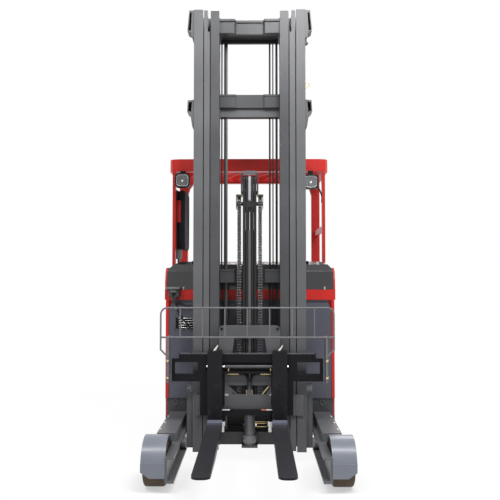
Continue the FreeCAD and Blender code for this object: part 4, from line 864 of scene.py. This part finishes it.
dress(deck_finish(), "chassis_deck")
eye_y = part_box("chassis_deck")[0][1] - 0.004
eye = joined([ring((0, eye_y, 0.345), (0, 1, 0), 0.016, 0.0035),
              bar((0, eye_y + 0.006, 0.328), (0, eye_y - 0.004, 0.328), 0.008)])
settle(copies(eye, across(-0.555, 0.540)), "lashing_eyes", mast_grey, "chassis", 0)
band_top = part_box("cowl")[0][2]
catch = block((-0.006, 0.222, band_top - 0.002), (0.006, 0.232, band_top + 0.021))
settle(copies(catch, across(-0.500, 0.560)), "cowl_catches", pale_pad, "chassis", 0.0025)
tab = block((-0.020, 0.300, 1.3995), (0.020, 0.345, 1.404))
settle(copies(tab, across(-0.43, 0.43)), "cowl_lift_tabs", black_moulding, "chassis", 0.0015)

# Overhead guard: red weldment with a grille of upright bars; two square work lamps
# with pressed bright reflectors hang under its front edge.
lens_glass = empty_material("lens_glass")
tree = lens_glass.node_tree
coords = make_node(tree, "TexCoord").out("Object")
ribs = coords.wave("X", 60.0)
bump = make_node(tree, "Bump", {}, {"Strength": 0.2, "Distance": 0.0008, "Height": ribs})
glass = make_node(tree, "BsdfPrincipled", {}, {
    "Base Color": (0.8, 0.82, 0.84, 1), "Roughness": 0.06, "Alpha": 0.10, "Normal": bump.out()})
make_node(tree, "OutputMaterial", {}, {"Surface": glass.out()})


def rounded_plate(centre, wide, tall, deep, corner):
    """Upright plate facing the forks, with rounded corners."""
    half = Vector((wide, deep, tall)) / 2
    plate = block(Vector(centre) - half, Vector(centre) + half)
    places = plate.data.vertices
    choose(plate, "EDGE", lambda edge: abs(places[edge.vertices[0]].co.y
                                           - places[edge.vertices[1]].co.y) > deep / 2)
    bpy.ops.mesh.bevel(offset=corner, segments=6, affect="EDGES")
    bpy.ops.object.mode_set(mode="OBJECT")
    return plate


def sink_front(plate, inset, drop):
    """Steps the middle of a plate's front face back from its rim."""
    choose(plate, "FACE", lambda face: face.normal.y < -0.9 and len(face.vertices) > 8)
    bpy.ops.mesh.inset(thickness=inset)
    bpy.ops.transform.translate(value=(0, drop, 0))
    bpy.ops.object.mode_set(mode="OBJECT")


reflector = surface("pressed_reflector", (0.92, 0.92, 0.92), 0.28, metal=0.15, grain=60, depth=0.0001)
BOWL_STEPS = ((0.004, 0.004), (0.006, 0.003), (0.006, -0.002), (0.006, 0.003), (0.006, -0.002))
for name in ("lamp_left", "lamp_right"):
    low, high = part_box(name)
    x = (low[0] + high[0]) / 2
    front = low[1]
    z = low[2] + 0.055
    bowl = rounded_plate((x, front + 0.0125, z), 0.096, 0.090, 0.018, 0.026)
    for inset, drop in BOWL_STEPS:
        sink_front(bowl, inset, drop)
    settle(bowl, name + "_reflector", reflector, "chassis", 0)
    bulb = joined([bar((x, front + 0.020, z - 0.004), (x, front + 0.006, z - 0.004), 0.013, 0.009),
                   ring((x, front + 0.016, z), (0, 1, 0), 0.024, 0.003)])
    settle(bulb, name + "_bulb", reflector, "chassis", 0.002)
    cover = rounded_plate((x, front + 0.0015, z), 0.100, 0.094, 0.0016, 0.027)
    settle(cover, name + "_glass", lens_glass, "chassis", 0)
    rim = rounded_plate((x, front + 0.002, z), 0.1165, 0.1105, 0.010, 0.030)
    sink_front(rim, 0.0075, 0.0)
    sink_front(rim, 0.0006, 0.0095)
    bpy.ops.object.mode_set(mode="EDIT")
    bpy.ops.mesh.delete(type="FACE")
    bpy.ops.object.mode_set(mode="OBJECT")
    settle(rim, name + "_rim", black_moulding, "chassis", 0.0008)
low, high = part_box("lamp_right")
x, y, z = high[0], high[1], low[2]
hose("lamp_cable", [(x - 0.012, y - 0.030, z + 0.045), (x + 0.004, y - 0.020, z + 0.020),
                    (x + 0.026, y - 0.006, z - 0.020), (x + 0.040, 0.470, z - 0.060),
                    (x + 0.036, 0.480, z - 0.100)], 0.0065, "chassis", cable_black, 12)
GUARD_BOLTS = ((0.56, 2.17), (1.08, 2.17))
guard_low, guard_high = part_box("overhead_guard")
for name, x, side in (("right", guard_high[0] - 0.001, 1), ("left", guard_low[0] + 0.001, -1)):
    bolts("guard_bolts_" + name, [(x, y, z) for y, z in GUARD_BOLTS], (side, 0, 0), 0.010, bright_zinc,
          "chassis")

# Seat: crowned cushions in black cloth on a moulded shell with a red inlay; the operator
# sits sideways, facing the truck's right.
seat_cloth = empty_material("seat_cloth")
tree = seat_cloth.node_tree
coords = make_node(tree, "TexCoord").out("Object")
weave = coords.wave("X", 190.0) * coords.wave("Y", 190.0)
cloud = coords.noise(9.0, 4.0)
tone = blend_colours(cloud.step(0.3, 0.7), (0.010, 0.010, 0.012), (0.020, 0.020, 0.023))
tone = blend_colours(weave * 0.5, tone, (0.032, 0.032, 0.036))
bump = make_node(tree, "Bump", {}, {"Strength": 0.5, "Distance": 0.0007, "Height": weave})
cloth = make_node(tree, "BsdfPrincipled", {}, {
    "Base Color": tone, "Roughness": 0.85, "Sheen Weight": 0.06, "Specular IOR Level": 0.12,
    "Normal": bump.out()})
make_node(tree, "OutputMaterial", {}, {"Surface": cloth.out()})


def cushion(name, low, high, crown, axis, replaced=None):
    """Stuffed pad between two corners, crowned along one axis, its sides pulled in at the corners."""
    piece = block(low, high)
    bpy.ops.object.mode_set(mode="EDIT")
    bpy.ops.mesh.select_all(action="SELECT")
    bpy.ops.mesh.subdivide(number_cuts=9)
    bpy.ops.object.mode_set(mode="OBJECT")
    centre = [(a + b) / 2 for a, b in zip(low, high)]
    half = [(b - a) / 2 for a, b in zip(low, high)]
    others = [n for n in range(3) if n != axis]
    for vertex in piece.data.vertices:
        share = [(vertex.co[n] - centre[n]) / half[n] for n in range(3)]
        rim = max(abs(share[others[0]]), abs(share[others[1]]))
        swell = (1 - share[others[0]] ** 4) * (1 - share[others[1]] ** 4)
        vertex.co[axis] += math.copysign(crown * swell - crown, share[axis]) * abs(share[axis])
        pull = 0.012 * (share[others[0]] * share[others[1]]) ** 2 * (abs(share[axis]) ** 2)
        for n in others:
            vertex.co[n] -= math.copysign(pull, share[n])
            vertex.co[n] -= math.copysign(0.010 * rim ** 6 * abs(share[axis]) ** 3, share[n])
    rounded = piece.modifiers.new("stuffing", "SUBSURF")
    rounded.levels = 2
    rounded.render_levels = 2
    pick(piece)
    bpy.ops.object.modifier_apply(modifier=rounded.name)
    settle(piece, name, seat_cloth, "chassis", 0)
    if replaced:
        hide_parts(replaced)
    return piece


low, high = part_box("seat_cushion")
cushion("seat_pad", (low[0] + 0.002, low[1] + 0.002, low[2] + 0.0005),
        (high[0] - 0.002, high[1] - 0.002, high[2] - 0.001), 0.016, 2, "seat_cushion")
back_low, back_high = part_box("seat_back")
rear_x, front_x = back_low[0], back_high[0] - 0.044
near_y, far_y = back_low[1], back_high[1]
shell_right = rear_x + 0.0245
parts = [block((rear_x + 0.006, near_y + 0.004, 1.425), (shell_right, far_y - 0.004, 1.986)),
         block((shell_right - 0.004, near_y + 0.030, 1.510), (front_x, far_y - 0.030, 1.712)),
         block((shell_right - 0.004, near_y + 0.030, 1.908), (front_x, far_y - 0.030, 1.980)),
         block((rear_x + 0.010, near_y + 0.122, 0.3785), (shell_right - 0.002, near_y + 0.216, 1.44))]
shell = settle(joined(parts), "seat_shell", black_moulding, "chassis", 0.006, 3)
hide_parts("seat_back")
inlay = block((shell_right - 0.001, near_y + 0.003, 1.722),
              (shell_right + 0.0275, near_y + 0.020, 1.900))
settle(inlay, "seat_back_insert", red_paint, "chassis", 0.002)
cushion("seat_back_pad", (rear_x + 0.0515, near_y + 0.002, 1.500),
        (back_high[0] - 0.013, far_y - 0.002, 1.988), 0.012, 0)

# Steering wheel and console: moulded rim with three spokes and a turning knob, three
# mini levers and a blank display pane.
SPOKES = 3
ring_low, ring_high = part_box("steering_wheel")
centre_x = (ring_low[0] + ring_high[0]) / 2
centre_y = (ring_low[1] + ring_high[1]) / 2
rim_z = ring_high[2] - 0.013
hub = Vector((centre_x, centre_y, rim_z))
parts = []
for n in range(SPOKES):
    angle = math.radians(90 + 360 / SPOKES * n)
    reach = Vector((math.cos(angle), math.sin(angle), 0))
    parts.append(bar(hub + reach * 0.02 + Vector((0, 0, 0.006)),
                     hub + reach * 0.122 + Vector((0, 0, 0.010)), 0.009, 0.007, 12))
parts.append(bar(hub, hub + Vector((0, 0, 0.016)), 0.036, 0.030, 28))
settle(joined(parts), "steering_spokes", cylinder_enamel, "chassis", 0.001)
knob_place = (centre_x - 0.09, centre_y - 0.09)
parts = [bar((*knob_place, rim_z + 0.008), (*knob_place, rim_z + 0.030), 0.008),
         bar((*knob_place, rim_z + 0.028), (*knob_place, rim_z + 0.060), 0.017, 0.021, 24)]
settle(joined(parts), "steering_knob", black_moulding, "chassis", 0.004, 3)
LEVERS = 3
LEVER_PITCH = 0.034
console_low, console_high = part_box("console")
right, near, top = console_high[0], console_low[1], console_high[2]
display_glass = surface("display_pane", (0.01, 0.012, 0.014), 0.08, coat=0.6, mottle=0.05)
pane = block((right - 0.105, near + 0.050, top - 0.012), (right - 0.015, near + 0.110, top + 0.004))
settle(pane, "display_pane", display_glass, "chassis", 0.003)
lever = joined([bar((0, 0, top - 0.012), (0, 0, top + 0.048), 0.005, 0.004, 12),
                bar((0, 0, top + 0.046), (0, 0, top + 0.078), 0.010, 0.008, 16),
                bar((0, 0, top - 0.016), (0, 0, top + 0.012), 0.014, 0.008, 16)])
for n in range(LEVERS):
    place = (console_low[0] + 0.035 + LEVER_PITCH * n, near + 0.060, 0)
    settle(copy_of(lever, place), "mini_lever_%d" % (n + 1), black_moulding, "chassis", 0.002)
bpy.data.objects.remove(lever)

# Rear cover: painted cover over the drive unit with vent slots, two quarter-turn
# latches and a seam across it.
VENTS = 8
VENT_FOOT = 0.62
VENT_PITCH = 0.032
LATCH_HEIGHT = 0.93
SEAM_HEIGHT = 0.5
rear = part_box("rear_cover")[1][1]
vent_places = [(0, 0, VENT_FOOT + VENT_PITCH * n) for n in range(VENTS)]
# Painted shade: dark strips on the cover where the vent openings are.
slot = block((-0.150, rear - 0.002, 0), (0.150, rear + 0.0005, 0.012))
settle(copies(slot, vent_places), "rear_vent_slots", painted_shade_and_seam_black, "chassis", 0.0005)
lip = block((-0.154, rear - 0.004, 0.0125), (0.154, rear + 0.008, 0.0165))
settle(copies(lip, vent_places), "rear_vent_lips", red_paint, "chassis", 0.0015)
disc = bar((0, rear - 0.001, 0), (0, rear + 0.004, 0), 0.017, 0.015, 24)
grip = block((-0.013, rear + 0.003, -0.0025), (0.013, rear + 0.007, 0.0025))
places = [(x, 0, LATCH_HEIGHT) for x in (-0.50, 0.50)]
settle(copies(joined([disc, grip]), places), "rear_latches", bright_zinc, "chassis", 0.001)
settle(block((-0.616, rear - 0.0012, SEAM_HEIGHT), (0.616, rear + 0.0002, SEAM_HEIGHT + 0.003)),
       "rear_seam", painted_shade_and_seam_black, "chassis", 0)

# Floor: ribbed rubber mat laid over the steel floor plate where the operator's feet rest
# and step up.
RIBS = 16
RIB_PITCH = 0.042
mat_low, mat_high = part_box("floor_plate")
sheet = block((mat_low[0] + 0.02, mat_low[1] + 0.02, mat_high[2] - 0.001),
              (mat_high[0] - 0.02, mat_high[1] - 0.02, mat_high[2] + 0.004))
rib = block((0, mat_low[1] + 0.035, mat_high[2] + 0.003),
            (0.012, mat_high[1] - 0.035, mat_high[2] + 0.007))
ribs = copies(rib, [(mat_low[0] + 0.05 + n * RIB_PITCH, 0, 0) for n in range(RIBS)])
mat_rubber = surface("mat_rubber", (0.018, 0.018, 0.018), 0.8, mottle=0.2, grain=260, depth=0.001)
settle(joined([sheet, ribs]), "floor_mat", mat_rubber, "chassis", 0.001)

# Drive wheel: solid rubber tyre pressed on a cast hub with a raised boss and a ring
# of seven nuts.
tyre_rubber = surface("drive_tyre_rubber", (0.022, 0.021, 0.020), 0.75, mottle=0.2, round_edge=0.006)
dress(tyre_rubber, "drive_wheel")
tyre_low, tyre_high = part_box("drive_wheel")
NUTS = 7
NUT_CIRCLE = 0.082
centre = Vector((tyre_low[0], (tyre_low[1] + tyre_high[1]) / 2, (tyre_low[2] + tyre_high[2]) / 2))
out = Vector((-1, 0, 0))
parts = [bar(centre + out * 0.0003, centre + out * 0.004, 0.108, 0.104, 48),
         bar(centre + out * 0.002, centre + out * 0.012, 0.058, 0.052, 32)]
for n in range(NUTS):
    angle = math.radians(360 / NUTS * n)
    place = centre + out * 0.003 + Vector((0, math.cos(angle), math.sin(angle))) * NUT_CIRCLE
    parts.append(bar(place, place + out * 0.010, 0.010, sides=6))
settle(joined(parts), "drive_hub", cast_iron, "drive_wheel", 0.0012)
